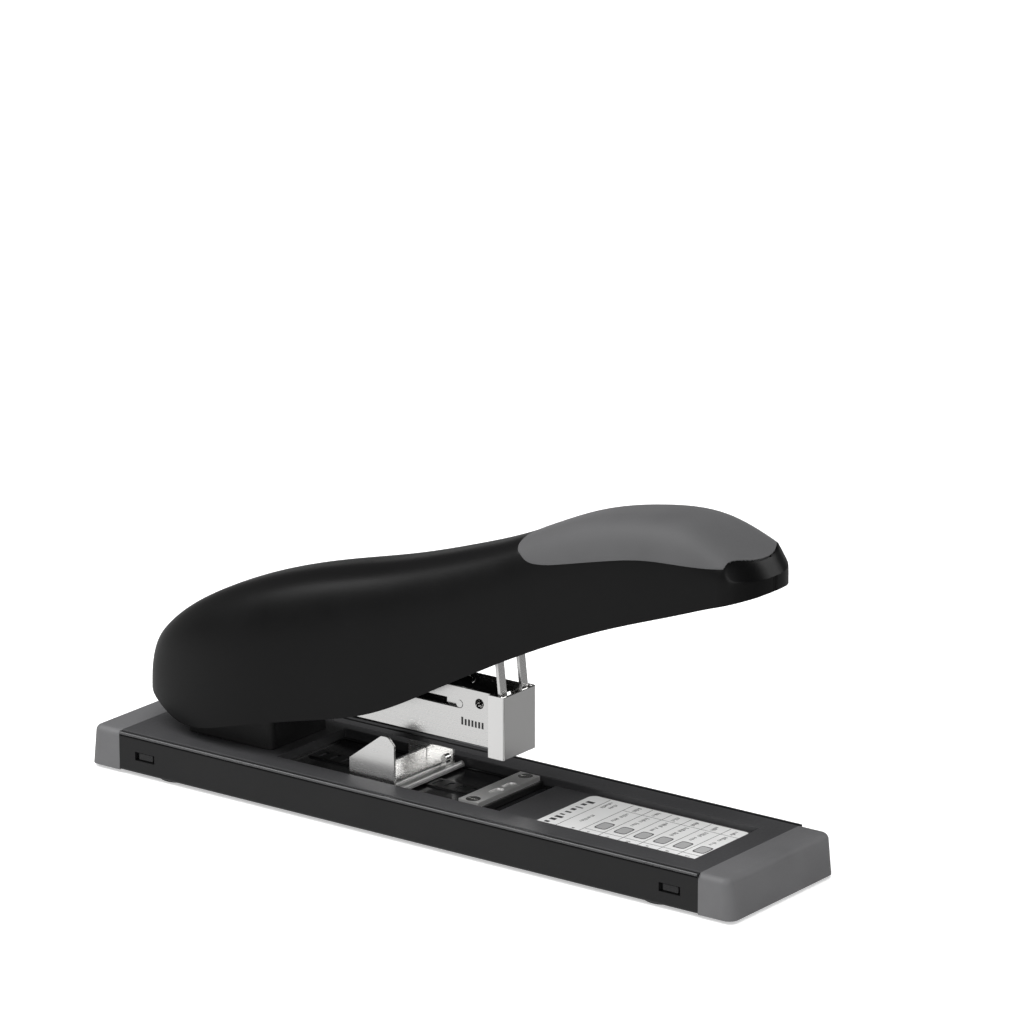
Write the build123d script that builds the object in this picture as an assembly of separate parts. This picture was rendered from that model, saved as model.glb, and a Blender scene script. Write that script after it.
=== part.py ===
from build123d import *

# Heavy-duty desktop stapler with a long raised handle, a sliding paper guide and a
# staple magazine that swings down onto an anvil. Millimetres. +X points to the front,
# +Y to the side and +Z up. The origin is the centre of the underside, at the feet.
import os
from math import atan2, cos, degrees, hypot, radians, sin

# ---- driving dimensions ----------------------------------------------------
FRAME_LENGTH = 250.0
FRAME_WIDTH = 61.4
FRAME_HEIGHT = 14.5
CAP_LENGTH = 13.8
CAP_CORNER_RADIUS = 3.6
FOOT_PROUD = 1.0
FOOT_RADIUS = 7.5
FOOT_INSET = (20.0, 9.7)

PAN_FLOOR = 1.2
PAN_WALL = 1.5
DECK_SKIN = 2.0
FIT_GAP = 0.2
SLOT_LENGTH = 8.8
SLOT_HEIGHT = 3.2
SLOT_INSET = 11.6

RECESS_REAR_AHEAD = 32.5
RECESS_FRONT_INSET = 9.5
RECESS_HALF_WIDTH = 19.2
LABEL_DEPTH = 2.5
GUIDE_DEPTH = 4.0
RECESS_STEP_X = 30.0
TUB_WALL = 1.5

PIVOT_X = -95.0
PIVOT_Z = 42.0
PIVOT_RADIUS = 3.0
RUNNING_GAP = 0.05

MAGAZINE_FRONT_X = 28.7
MAGAZINE_REAR_X = -47.0
MAGAZINE_BOTTOM_Z = 30.6
MAGAZINE_HEIGHT = 21.4
MAGAZINE_HALF_WIDTH = 8.3
MAGAZINE_WALL = 1.2
COVER_DEPTH = 6.6
COVER_WALL_FRONT = 0.9
COVER_WALL_SIDE = 1.1
COVER_DROP = 1.3
ARM_HALF_HEIGHT = 8.0

STAPLE_CROWN = 13.1
STAPLE_LEG = 10.7
STAPLE_WIRE = 0.7
STAPLE_ROW = 12.4
STAPLE_CROWN_Z = 43.0

LINK_HINGE = (26.35, 47.5)
LINK_LENGTH = 28.7
LINK_LEAN = 6.4
LINK_PIN_RADIUS = 2.0
OPEN_PIVOT_GAP = 0.5
BLADE_X = 24.2
BLADE_THICKNESS = 0.9
BLADE_HEIGHT = 5.2

ANVIL_SIZE = (8.5, 35.6, 1.8)
ANVIL_CENTRE_X = 20.0
ANVIL_BLOCK_HEIGHT = 2.4

HANDLE_REAR_HALF_WIDTH = 24.2
HANDLE_NOSE_X = 133.0
HANDLE_WALL = 2.2
GRIP_THICKNESS = 1.6
LEVER_HALF_WIDTH = 11.9
LEVER_WALL = 1.5
CHEEK_HALF_WIDTH = 14.4
CHEEK_WALL = 2.0

GUIDE_FRONT_X = -12.5
GUIDE_EAR_LENGTH = 19.5
GUIDE_EAR_HALF_WIDTH = 17.3
GUIDE_SHEET = 1.0
GUIDE_EAR_TOP = 31.3

# ---- sizes worked out from them --------------------------------------------
HALF_LENGTH = FRAME_LENGTH / 2
HALF_WIDTH = FRAME_WIDTH / 2
DECK_Z = FOOT_PROUD + FRAME_HEIGHT
PAN_INSIDE_Z = FOOT_PROUD + PAN_FLOOR
PAN_INSIDE_Y = HALF_WIDTH - PAN_WALL
DECK_HALF_WIDTH = PAN_INSIDE_Y - FIT_GAP
RECESS_REAR_X = PIVOT_X + RECESS_REAR_AHEAD
RECESS_FRONT_X = HALF_LENGTH - RECESS_FRONT_INSET
GUIDE_FLOOR_Z = DECK_Z - GUIDE_DEPTH
LABEL_FLOOR_Z = DECK_Z - LABEL_DEPTH
MAGAZINE_TOP_Z = MAGAZINE_BOTTOM_Z + MAGAZINE_HEIGHT
MAGAZINE_INSIDE_Y = MAGAZINE_HALF_WIDTH - MAGAZINE_WALL
COVER_REAR_X = MAGAZINE_FRONT_X - COVER_DEPTH
CHANNEL_FRONT_X = BLADE_X - 0.6
STAPLE_HALF = STAPLE_CROWN / 2
RAIL_HALF_WIDTH = STAPLE_HALF - STAPLE_WIRE - 0.25
STAPLE_FRONT_X = CHANNEL_FRONT_X - 0.2
STAPLE_REAR_X = STAPLE_FRONT_X - STAPLE_ROW
ANVIL_BLOCK_TOP = GUIDE_FLOOR_Z + ANVIL_BLOCK_HEIGHT
LINK_TOP = (
    LINK_HINGE[0] - LINK_LENGTH * sin(radians(LINK_LEAN)),
    LINK_HINGE[1] + LINK_LENGTH * cos(radians(LINK_LEAN)),
)
LEVER_LENGTH = hypot(LINK_TOP[0] - PIVOT_X, LINK_TOP[1] - PIVOT_Z)
LEVER_ANGLE = degrees(atan2(LINK_TOP[1] - PIVOT_Z, LINK_TOP[0] - PIVOT_X))


# ---- small helpers ---------------------------------------------------------
def block(x, y, z):
    """A box between the two limits given for each axis."""
    size = (x[1] - x[0], y[1] - y[0], z[1] - z[0])
    middle = ((x[0] + x[1]) / 2, (y[0] + y[1]) / 2, (z[0] + z[1]) / 2)
    return Pos(*middle) * Box(*size)


def upright(x, y, radius, z):
    """A cylinder along Z between two heights."""
    return Pos(x, y, (z[0] + z[1]) / 2) * Cylinder(radius, z[1] - z[0])


def cross_pin(x, z, radius, y):
    """A cylinder along Y between two sides."""
    return Pos(x, (y[0] + y[1]) / 2, z) * Rot(90, 0, 0) * Cylinder(radius, y[1] - y[0])


def long_pin(y, z, radius, x):
    """A cylinder along X between two ends."""
    return Pos((x[0] + x[1]) / 2, y, z) * Rot(0, 90, 0) * Cylinder(radius, x[1] - x[0])


def side_plate(face, y):
    """A face drawn in XZ, thickened between two sides."""
    return Pos(0, y[0], 0) * extrude(face, y[1] - y[0], dir=(0, 1, 0))


def outline(*points):
    """A face in XZ with straight edges through the points."""
    return make_face(Polyline(*[(x, 0, z) for x, z in points], close=True))


def joined(*solids):
    """One solid made of pieces that touch or overlap."""
    whole = solids[0]
    for piece in solids[1:]:
        whole = whole + piece
    return whole


def in_lever_frame(solid):
    """Moves a solid from the lever's own frame, pivot at the origin, to its place."""
    return Pos(PIVOT_X, 0, PIVOT_Z) * Rot(0, -LEVER_ANGLE, 0) * solid


def coil(x, y, z, radius, wire, turns):
    """A compression spring standing on Z, as one swept wire."""
    height = z[1] - z[0] - 2 * wire
    path = Pos(x, y, z[0] + wire) * Helix(height / turns, height, radius)
    section = Plane(path @ 0, z_dir=path % 0) * Circle(wire)
    return sweep(section, path, is_frenet=True)


# ---- base ------------------------------------------------------------------
FOOT_PLACES = [
    (sx * (HALF_LENGTH - FOOT_INSET[0]), sy * (HALF_WIDTH - FOOT_INSET[1]))
    for sx in (-1, 1)
    for sy in (-1, 1)
]
RIVET_RADIUS = 2.0
BRACKET_X = (PIVOT_X - 9.0, PIVOT_X + 23.0)
BRACKET_FLOOR = 2.0
RIVET_HEAD_RADIUS = 3.0
RIVET_Y = CHEEK_HALF_WIDTH - CHEEK_WALL - RIVET_HEAD_RADIUS - 0.2
RIVET_PLACES = [(x, y) for x in (BRACKET_X[0] + 6, BRACKET_X[1] - 5) for y in (-RIVET_Y, RIVET_Y)]
FOOT_HEAD_RADIUS = 3.4
RIB_Y = HALF_WIDTH - FOOT_INSET[1] + FOOT_HEAD_RADIUS + 1.2
RIB_HALF = 0.6
SLOT_Z = FOOT_PROUD + FRAME_HEIGHT * 0.45
SLOT_PLACES = (-HALF_LENGTH + SLOT_INSET, HALF_LENGTH - SLOT_INSET)


def base_pan():
    """A steel trough with open ends and a rolled top edge on both long sides."""
    top = DECK_Z - 0.1
    pan = block((-HALF_LENGTH, HALF_LENGTH), (-HALF_WIDTH, HALF_WIDTH), (FOOT_PROUD, top))
    corners = pan.edges().filter_by(Axis.X).group_by(Axis.Z)
    pan = fillet(corners[0], PAN_WALL * 0.8)
    inside_x = (-HALF_LENGTH - 1, HALF_LENGTH + 1)
    pan -= block(inside_x, (-PAN_INSIDE_Y, PAN_INSIDE_Y), (PAN_INSIDE_Z, top + 1))
    rims = pan.edges().filter_by(Axis.X).group_by(Axis.Z)[-1]
    pan = fillet(rims, PAN_WALL * 0.45)
    for x in SLOT_PLACES:
        pan -= block(
            (x - SLOT_LENGTH / 2, x + SLOT_LENGTH / 2),
            (-HALF_WIDTH - 1, HALF_WIDTH + 1),
            (SLOT_Z - SLOT_HEIGHT / 2, SLOT_Z + SLOT_HEIGHT / 2),
        )
    for x, y in FOOT_PLACES:
        pan -= upright(x, y, FOOT_RADIUS / 3 + RUNNING_GAP, (0, PAN_INSIDE_Z + 1))
    for x, y in RIVET_PLACES:
        pan -= upright(x, y, RIVET_RADIUS, (0, PAN_INSIDE_Z + 1))
    return pan


def deck_cover():
    """The plastic top: a skin on side walls, with a sunken tub for guide, anvil and label."""
    ends = (-HALF_LENGTH, HALF_LENGTH)
    body = block(ends, (-DECK_HALF_WIDTH, DECK_HALF_WIDTH), (PAN_INSIDE_Z, DECK_Z))
    hollow_y = DECK_HALF_WIDTH - 1.6
    hollow_z = (PAN_INSIDE_Z - 1, DECK_Z - DECK_SKIN)
    body -= block((ends[0] - 1, ends[1] + 1), (-hollow_y, hollow_y), hollow_z)
    tub = block(
        (RECESS_REAR_X - TUB_WALL, RECESS_FRONT_X + TUB_WALL),
        (-RECESS_HALF_WIDTH - TUB_WALL, RECESS_HALF_WIDTH + TUB_WALL),
        (GUIDE_FLOOR_Z - TUB_WALL, DECK_Z),
    )
    body += tub
    sunk_y = (-RECESS_HALF_WIDTH, RECESS_HALF_WIDTH)
    body -= block((RECESS_REAR_X, RECESS_STEP_X), sunk_y, (GUIDE_FLOOR_Z, DECK_Z + 1))
    body -= block((RECESS_STEP_X - 1, RECESS_FRONT_X), sunk_y, (LABEL_FLOOR_Z, DECK_Z + 1))
    for y in (-RIB_Y, RIB_Y):
        rib_x = (-HALF_LENGTH + 12, HALF_LENGTH - 12)
        body += block(rib_x, (y - RIB_HALF, y + RIB_HALF), (PAN_INSIDE_Z, DECK_Z - DECK_SKIN))
    body -= block(
        (BRACKET_X[0] - 0.5, BRACKET_X[1] + 0.5),
        (-CHEEK_HALF_WIDTH - 0.4, CHEEK_HALF_WIDTH + 0.4),
        (GUIDE_FLOOR_Z - TUB_WALL - 1, DECK_Z + 1),
    )
    for x in SLOT_PLACES:
        for side in (-1, 1):
            inner, outer = sorted((side * (DECK_HALF_WIDTH - 1.0), side * (PAN_INSIDE_Y + 0.8)))
            body += block(
                (x - SLOT_LENGTH / 2 + 1.2, x + SLOT_LENGTH / 2 - 1.2),
                (inner, outer),
                (SLOT_Z - SLOT_HEIGHT / 2 + 0.4, SLOT_Z + SLOT_HEIGHT / 2 - 0.4),
            )
    for y in anvil_screw_sides():
        body -= upright(ANVIL_CENTRE_X, y, ANVIL_SCREW_RADIUS + RUNNING_GAP, (0, GUIDE_FLOOR_Z + 1))
    return body


def end_cap(side):
    """A moulded end with a leaning face, rounded corners and two tongues in the trough."""
    lean = 1.5
    section = outline(
        (HALF_LENGTH, FOOT_PROUD),
        (HALF_LENGTH + CAP_LENGTH, FOOT_PROUD),
        (HALF_LENGTH + CAP_LENGTH - lean, DECK_Z),
        (HALF_LENGTH, DECK_Z),
    )
    cap = side_plate(section, (-HALF_WIDTH, HALF_WIDTH))
    far = cap.faces().sort_by(Axis.X)[-1]
    posts = far.edges().filter_by(lambda edge: abs((edge % 0).Y) < 0.5)
    cap = fillet(posts, CAP_CORNER_RADIUS)
    top_edges = cap.faces().sort_by(Axis.Z)[-1].edges().filter_by(
        lambda edge: edge.center().X > HALF_LENGTH + 0.01
    )
    cap = fillet(top_edges, 2.5)
    wall = 2.4
    cap -= block(
        (HALF_LENGTH - 1, HALF_LENGTH + CAP_LENGTH - wall - lean),
        (-HALF_WIDTH + wall, HALF_WIDTH - wall),
        (FOOT_PROUD + wall, DECK_Z - wall),
    )
    for y in (-PAN_INSIDE_Y + 11, PAN_INSIDE_Y - 11):
        tongue_z = (FOOT_PROUD + wall, GUIDE_FLOOR_Z - TUB_WALL - 0.5)
        cap += block((HALF_LENGTH - 7, HALF_LENGTH + 3), (y - 1.5, y + 1.5), tongue_z)
    return cap if side > 0 else mirror(cap, Plane.YZ)


def foot_pads():
    """Four rubber feet with stems that snap through the floor of the trough."""
    feet = []
    for x, y in FOOT_PLACES:
        foot = upright(x, y, FOOT_RADIUS, (0, FOOT_PROUD))
        foot += upright(x, y, FOOT_RADIUS / 3, (0, PAN_INSIDE_Z))
        foot += upright(x, y, FOOT_HEAD_RADIUS, (PAN_INSIDE_Z, PAN_INSIDE_Z + 1.2))
        feet.append(foot)
    return Compound(feet)


# ---- anvil and label -------------------------------------------------------
ANVIL_SCREW_RADIUS = 1.5
ANVIL_HEAD_RADIUS = 2.6
CLINCH_POCKET = (6.6, 3.6, 0.6)
CLINCH_OFFSET_X = 1.4


def anvil_screw_sides():
    """The two Y places of the anvil's screws, 2.8 mm in from its ends."""
    reach = ANVIL_SIZE[1] / 2 - 2.8
    return (-reach, reach)


def anvil_block():
    """The riser that carries the anvil plate."""
    half_x = ANVIL_SIZE[0] / 2 + 1.0
    half_y = ANVIL_SIZE[1] / 2 + 0.9
    x = (ANVIL_CENTRE_X - half_x, ANVIL_CENTRE_X + half_x)
    riser = block(x, (-half_y, half_y), (GUIDE_FLOOR_Z, ANVIL_BLOCK_TOP))
    for y in anvil_screw_sides():
        riser -= upright(ANVIL_CENTRE_X, y, ANVIL_SCREW_RADIUS + RUNNING_GAP, (0, DECK_Z))
    return riser


def anvil_plate():
    """A steel plate with two clinching pockets and two counterbored screw holes."""
    length, width, thick = ANVIL_SIZE
    top = ANVIL_BLOCK_TOP + thick
    x = (ANVIL_CENTRE_X - length / 2, ANVIL_CENTRE_X + length / 2)
    plate = block(x, (-width / 2, width / 2), (ANVIL_BLOCK_TOP, top))
    for y in anvil_screw_sides():
        plate -= upright(ANVIL_CENTRE_X, y, ANVIL_SCREW_RADIUS + RUNNING_GAP, (0, top + 1))
        plate -= upright(ANVIL_CENTRE_X, y, ANVIL_HEAD_RADIUS + RUNNING_GAP, (top - 1.0, top + 1))
    for side in (-1, 1):
        pocket = SlotOverall(CLINCH_POCKET[0], CLINCH_POCKET[1], rotation=90)
        y = side * (CLINCH_POCKET[0] / 2 + 0.4)
        place = Pos(ANVIL_CENTRE_X + CLINCH_OFFSET_X, y, top - CLINCH_POCKET[2])
        plate -= place * extrude(pocket, 2.0)
    return plate


def anvil_screws():
    """Two screws through plate and riser into the deck."""
    top = ANVIL_BLOCK_TOP + ANVIL_SIZE[2]
    screws = []
    for y in anvil_screw_sides():
        low = GUIDE_FLOOR_Z - TUB_WALL - 3
        screw = upright(ANVIL_CENTRE_X, y, ANVIL_SCREW_RADIUS, (low, top - 0.5))
        screw += upright(ANVIL_CENTRE_X, y, ANVIL_HEAD_RADIUS, (top - 1.0, top))
        screw -= block((ANVIL_CENTRE_X - 2, ANVIL_CENTRE_X + 2), (y - 0.3, y + 0.3), (top - 0.5, top + 1))
        screws.append(screw)
    return Compound(screws)


def instruction_label():
    """A printed plate on the floor of the tub, with rounded corners."""
    label = block((46.6, 113.0), (-17.4, 18.0), (LABEL_FLOOR_Z, LABEL_FLOOR_Z + 0.3))
    return fillet(label.edges().filter_by(Axis.Z), 2.5)


def guide_rack():
    """A toothed strip in the tub that holds the paper guide where it is put."""
    x0 = RECESS_REAR_X + 2
    x1 = ANVIL_CENTRE_X - ANVIL_SIZE[0] / 2 - 2.5
    rack = block((x0, x1), (-4, 4), (GUIDE_FLOOR_Z, GUIDE_FLOOR_Z + 0.6))
    pitch = 5.0
    count = int((x1 - x0) / pitch)
    for i in range(count):
        x = x0 + pitch * (i + 0.6)
        rack -= block((x, x + 1.6), (-2.5, 2.5), (GUIDE_FLOOR_Z + 0.3, GUIDE_FLOOR_Z + 1))
    return rack


# ---- hinge -----------------------------------------------------------------
def hinge_bracket():
    """A steel U with two cheeks that carry the pivot pin."""
    x0, x1 = BRACKET_X
    floor_z = (PAN_INSIDE_Z, PAN_INSIDE_Z + BRACKET_FLOOR)
    floor = block((x0, x1), (-CHEEK_HALF_WIDTH, CHEEK_HALF_WIDTH), floor_z)
    cheek = outline(
        (x0, PAN_INSIDE_Z),
        (x1, PAN_INSIDE_Z),
        (x1, DECK_Z + 8),
        (PIVOT_X + 7, PIVOT_Z + 3),
        (PIVOT_X - 7, PIVOT_Z + 3),
        (x0, DECK_Z + 6),
    )
    cheeks = []
    for side in (-1, 1):
        y = sorted((side * CHEEK_HALF_WIDTH, side * (CHEEK_HALF_WIDTH - CHEEK_WALL)))
        plate = side_plate(cheek, y) + cross_pin(PIVOT_X, PIVOT_Z, 7.6, y)
        cheeks.append(plate)
    bracket = joined(floor, *cheeks)
    bracket -= cross_pin(PIVOT_X, PIVOT_Z, PIVOT_RADIUS, (-20, 20))
    for x, y in RIVET_PLACES:
        bracket -= upright(x, y, RIVET_RADIUS, (0, PAN_INSIDE_Z + 5))
    return bracket


def bracket_rivets():
    """Four rivets that hold the bracket to the trough."""
    rivets = []
    for x, y in RIVET_PLACES:
        top = PAN_INSIDE_Z + BRACKET_FLOOR
        rivet = upright(x, y, RIVET_RADIUS, (FOOT_PROUD, top))
        rivet += upright(x, y, RIVET_HEAD_RADIUS, (top, top + 1.3))
        rivets.append(rivet)
    return Compound(rivets)


def hinge_housing():
    """The moulded pedestal around the bracket, open above."""
    x = (BRACKET_X[0] - 2.0, BRACKET_X[1] + 4.5)
    half = CHEEK_HALF_WIDTH + 2.0
    wall = 1.6
    top = DECK_Z + 13.5
    housing = fillet(block(x, (-half, half), (DECK_Z, top)).edges().filter_by(Axis.Z), 3.0)
    housing -= block((x[0] + 1.5, x[1] - wall), (-half + wall, half - wall), (DECK_Z - 1, top + 1))
    return housing


CLIP_Y = (CHEEK_HALF_WIDTH + 0.1, CHEEK_HALF_WIDTH + 0.9)


def pivot_pin():
    """The pin that the magazine and the handle both swing on, with a head at one end."""
    reach = CHEEK_HALF_WIDTH + 1.3
    pin = cross_pin(PIVOT_X, PIVOT_Z, PIVOT_RADIUS, (-reach, reach))
    pin += cross_pin(PIVOT_X, PIVOT_Z, PIVOT_RADIUS * 1.6, (-reach, -CHEEK_HALF_WIDTH))
    groove = cross_pin(PIVOT_X, PIVOT_Z, PIVOT_RADIUS * 2, CLIP_Y)
    groove -= cross_pin(PIVOT_X, PIVOT_Z, PIVOT_RADIUS * 0.8, CLIP_Y)
    return pin - groove


def pin_clip():
    """The open ring that keeps the pivot pin in."""
    ring = cross_pin(PIVOT_X, PIVOT_Z, PIVOT_RADIUS * 1.7, CLIP_Y)
    ring -= cross_pin(PIVOT_X, PIVOT_Z, PIVOT_RADIUS * 0.8, CLIP_Y)
    return ring - block((PIVOT_X - 1.2, PIVOT_X + 1.2), CLIP_Y, (PIVOT_Z - 8, PIVOT_Z))


# ---- paper guide -----------------------------------------------------------
GUIDE_BASE_Z = GUIDE_FLOOR_Z + 1.0
GUIDE_FENCE_X = -25.0
GUIDE_FENCE_TOP = 17.0


def guide_plate():
    """Bent sheet with two upright ears that the paper's edge passes between."""
    x1 = GUIDE_FRONT_X
    x0 = x1 - GUIDE_EAR_LENGTH
    ear = outline(
        (x0, GUIDE_BASE_Z),
        (x1, GUIDE_BASE_Z),
        (x1, GUIDE_EAR_TOP - 2.8),
        (x1 - 2.6, GUIDE_EAR_TOP),
        (x1 - 5.6, GUIDE_EAR_TOP),
        (x0, GUIDE_BASE_Z + 8.3),
    )
    ear = side_plate(ear, (GUIDE_EAR_HALF_WIDTH - GUIDE_SHEET, GUIDE_EAR_HALF_WIDTH))
    ear = fillet(ear.edges().filter_by(Axis.Y).group_by(Axis.Z)[-1], 2.0)
    inside = GUIDE_EAR_HALF_WIDTH - GUIDE_SHEET / 2
    floor = block((x0 + 2, x1 - 3.5), (-inside, inside), (GUIDE_BASE_Z, GUIDE_BASE_Z + GUIDE_SHEET))
    return joined(floor, ear, mirror(ear, Plane.XZ))


def guide_fence():
    """The upright plate between the ears that the sheets are pushed against."""
    half = GUIDE_EAR_HALF_WIDTH - GUIDE_SHEET - 0.1
    x = (GUIDE_FENCE_X, GUIDE_FENCE_X + GUIDE_SHEET)
    return block(x, (-half, half), (GUIDE_BASE_Z + GUIDE_SHEET, GUIDE_FENCE_TOP))


def guide_shoe():
    """The strip at the front of the guide, with two raised ribs across it."""
    x0 = GUIDE_FRONT_X - 3.3
    x1 = GUIDE_FRONT_X + 3.6
    half = RECESS_HALF_WIDTH - 0.8
    between = GUIDE_EAR_HALF_WIDTH - GUIDE_SHEET - 0.15
    z = GUIDE_BASE_Z
    strip = block((x0, x1), (-between, between), (z, z + 0.8))
    strip += block((GUIDE_FRONT_X + 0.2, x1), (-between, half), (z, z + 0.8))
    for x, far in ((x0 + 1.2, between), (x1 - 1.2, half)):
        strip += cross_pin(x, z + 0.8, 1.0, (-between, far)) & block((x0, x1), (-half, half), (z, z + 3))
    return strip


def guide_clip():
    """The squeeze clip that frees the guide's catch."""
    x = GUIDE_FRONT_X + 0.2
    z = GUIDE_BASE_Z + 0.8
    clip = block((x - 1.0, x + 1.2), (10.6, 13.2), (z, z + 3.4))
    return clip + cross_pin(x + 0.1, z + 3.4, 1.3, (10.6, 13.2))


# ---- magazine --------------------------------------------------------------
RAIL_PIN = (-40.0, 37.0, 1.5)
SIDE_HOLE = (17.7, 47.6, 1.85)
PUSHER_PIN = (9.05, 45.95, 1.3)
PUSHER_SLOT = (-42.0, 10.6, 3.1)
PUSHER_TRAVEL = 30.0
MAGAZINE_SPRING_X = -78.0
SEAT_X = (MAGAZINE_SPRING_X - 6, MAGAZINE_SPRING_X + 6)
TOP_PLATE_Z = (49.5, 50.5)
ROD_Z = 46.0
ROD_RADIUS = 1.2


def magazine_channel():
    """Two side plates that run back as arms to the pivot, tied by a spring seat."""
    arm_low = PIVOT_Z - ARM_HALF_HEIGHT
    arm_top = PIVOT_Z + ARM_HALF_HEIGHT
    side = outline(
        (MAGAZINE_REAR_X, MAGAZINE_BOTTOM_Z),
        (CHANNEL_FRONT_X, MAGAZINE_BOTTOM_Z),
        (CHANNEL_FRONT_X, MAGAZINE_TOP_Z),
        (MAGAZINE_REAR_X, MAGAZINE_TOP_Z),
        (MAGAZINE_REAR_X - 4, arm_top),
        (PIVOT_X, arm_top),
        (PIVOT_X, arm_low),
        (MAGAZINE_REAR_X, arm_low),
    )
    plates = []
    for sign in (-1, 1):
        y = sorted((sign * MAGAZINE_HALF_WIDTH, sign * MAGAZINE_INSIDE_Y))
        plates.append(side_plate(side, y) + cross_pin(PIVOT_X, PIVOT_Z, ARM_HALF_HEIGHT, y))
    seat = block(SEAT_X, (-MAGAZINE_HALF_WIDTH, MAGAZINE_HALF_WIDTH), (arm_low, arm_low + 1.4))
    channel = joined(*plates, seat)
    channel -= cross_pin(PIVOT_X, PIVOT_Z, PIVOT_RADIUS + RUNNING_GAP, (-20, 20))
    channel -= cross_pin(RAIL_PIN[0], RAIL_PIN[1], RAIL_PIN[2], (-20, 20))
    channel -= cross_pin(SIDE_HOLE[0], SIDE_HOLE[1], SIDE_HOLE[2], (-20, 20))
    slot = SlotOverall(PUSHER_SLOT[1] - PUSHER_SLOT[0], PUSHER_SLOT[2])
    slot_x = (PUSHER_SLOT[0] + PUSHER_SLOT[1]) / 2
    cutter = Pos(slot_x, 20, PUSHER_PIN[1]) * Rot(90, 0, 0) * extrude(slot, 40)
    return channel - cutter


def magazine_front_cover():
    """The bright U-shaped nose around the front of the channel."""
    bottom = MAGAZINE_BOTTOM_Z - COVER_DROP
    outer_y = MAGAZINE_HALF_WIDTH + COVER_WALL_SIDE
    cover = block((COVER_REAR_X, MAGAZINE_FRONT_X), (-outer_y, outer_y), (bottom, MAGAZINE_TOP_Z))
    cover = fillet(cover.edges().filter_by(Axis.Z).group_by(Axis.X)[-1], 0.8)
    return cover - block(
        (COVER_REAR_X - 1, MAGAZINE_FRONT_X - COVER_WALL_FRONT),
        (-MAGAZINE_HALF_WIDTH, MAGAZINE_HALF_WIDTH),
        (bottom - 1, MAGAZINE_TOP_Z + 1),
    )


def staple_rail():
    """The core that the staples sit astride, with a wider foot below the channel."""
    x = (MAGAZINE_REAR_X, CHANNEL_FRONT_X)
    foot_half = MAGAZINE_INSIDE_Y - 0.2
    rail = block(x, (-RAIL_HALF_WIDTH, RAIL_HALF_WIDTH), (MAGAZINE_BOTTOM_Z - 1.0, STAPLE_CROWN_Z))
    rail += block(x, (-foot_half, foot_half), (MAGAZINE_BOTTOM_Z - 2.2, MAGAZINE_BOTTOM_Z - 0.2))
    return rail - cross_pin(RAIL_PIN[0], RAIL_PIN[1], RAIL_PIN[2], (-20, 20))


def rail_pin():
    """The pin that ties the rail to both sides of the channel."""
    return cross_pin(*RAIL_PIN, (-MAGAZINE_HALF_WIDTH, MAGAZINE_HALF_WIDTH))


def magazine_top_plate():
    """The black lid that closes the channel behind the driver."""
    x = (MAGAZINE_REAR_X, COVER_REAR_X - 1)
    return block(x, (-MAGAZINE_INSIDE_Y, MAGAZINE_INSIDE_Y), TOP_PLATE_Z)


def spring_seat():
    """The block at the rear of the channel that the pusher spring leans on."""
    x = (MAGAZINE_REAR_X, MAGAZINE_REAR_X + 4)
    seat = block(x, (-MAGAZINE_INSIDE_Y, MAGAZINE_INSIDE_Y), (STAPLE_CROWN_Z, TOP_PLATE_Z[0]))
    return seat - long_pin(0, ROD_Z, ROD_RADIUS, (x[0] - 1, x[1] + 1))


def pusher_rod():
    """The rod that guides the pusher and its spring."""
    return long_pin(0, ROD_Z, ROD_RADIUS, (MAGAZINE_REAR_X, COVER_REAR_X - 4))


def staple_row():
    """A short row of staples left in the magazine."""
    x = (STAPLE_REAR_X, STAPLE_FRONT_X)
    top = STAPLE_CROWN_Z + STAPLE_WIRE
    row = block(x, (-STAPLE_HALF, STAPLE_HALF), (top - STAPLE_LEG, top))
    inner = STAPLE_HALF - STAPLE_WIRE
    return row - block((x[0] - 1, x[1] + 1), (-inner, inner), (top - STAPLE_LEG - 1, STAPLE_CROWN_Z))


def staple_pusher():
    """The block that pushes the staples forward, with a pin end in each side slot."""
    x = (STAPLE_REAR_X - 8.5, STAPLE_REAR_X - 0.3)
    body = block(x, (-STAPLE_HALF, STAPLE_HALF), (STAPLE_CROWN_Z - 5, PUSHER_PIN[1] + 2.4))
    astride = RAIL_HALF_WIDTH + 0.3
    body -= block((x[0] - 1, x[1] + 1), (-astride, astride), (STAPLE_CROWN_Z - 6, STAPLE_CROWN_Z + 0.3))
    for side in (-1, 1):
        y = sorted((side * (STAPLE_HALF - 2.5), side * MAGAZINE_HALF_WIDTH))
        body += cross_pin(PUSHER_PIN[0], PUSHER_PIN[1], PUSHER_PIN[2], y)
    return body - long_pin(0, ROD_Z, ROD_RADIUS + 0.3, (x[0] - 1, x[1] + 1))


def pusher_spring():
    """The spring on the rod behind the pusher."""
    x0 = MAGAZINE_REAR_X + 4.1
    x1 = STAPLE_REAR_X - 8.6
    standing = coil(0, 0, (0, x1 - x0), 2.0, 0.35, 16)
    return Pos(x0, 0, ROD_Z) * Rot(0, 90, 0) * standing


# ---- driver and link -------------------------------------------------------
LEG_Y = (4.2, 7.9)
LEG_THICKNESS = 1.3
TAB_Y = (5.4, 6.8)
TAB_HALF_HEIGHT = 0.9
WINDOW_GAP = 0.6


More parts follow.
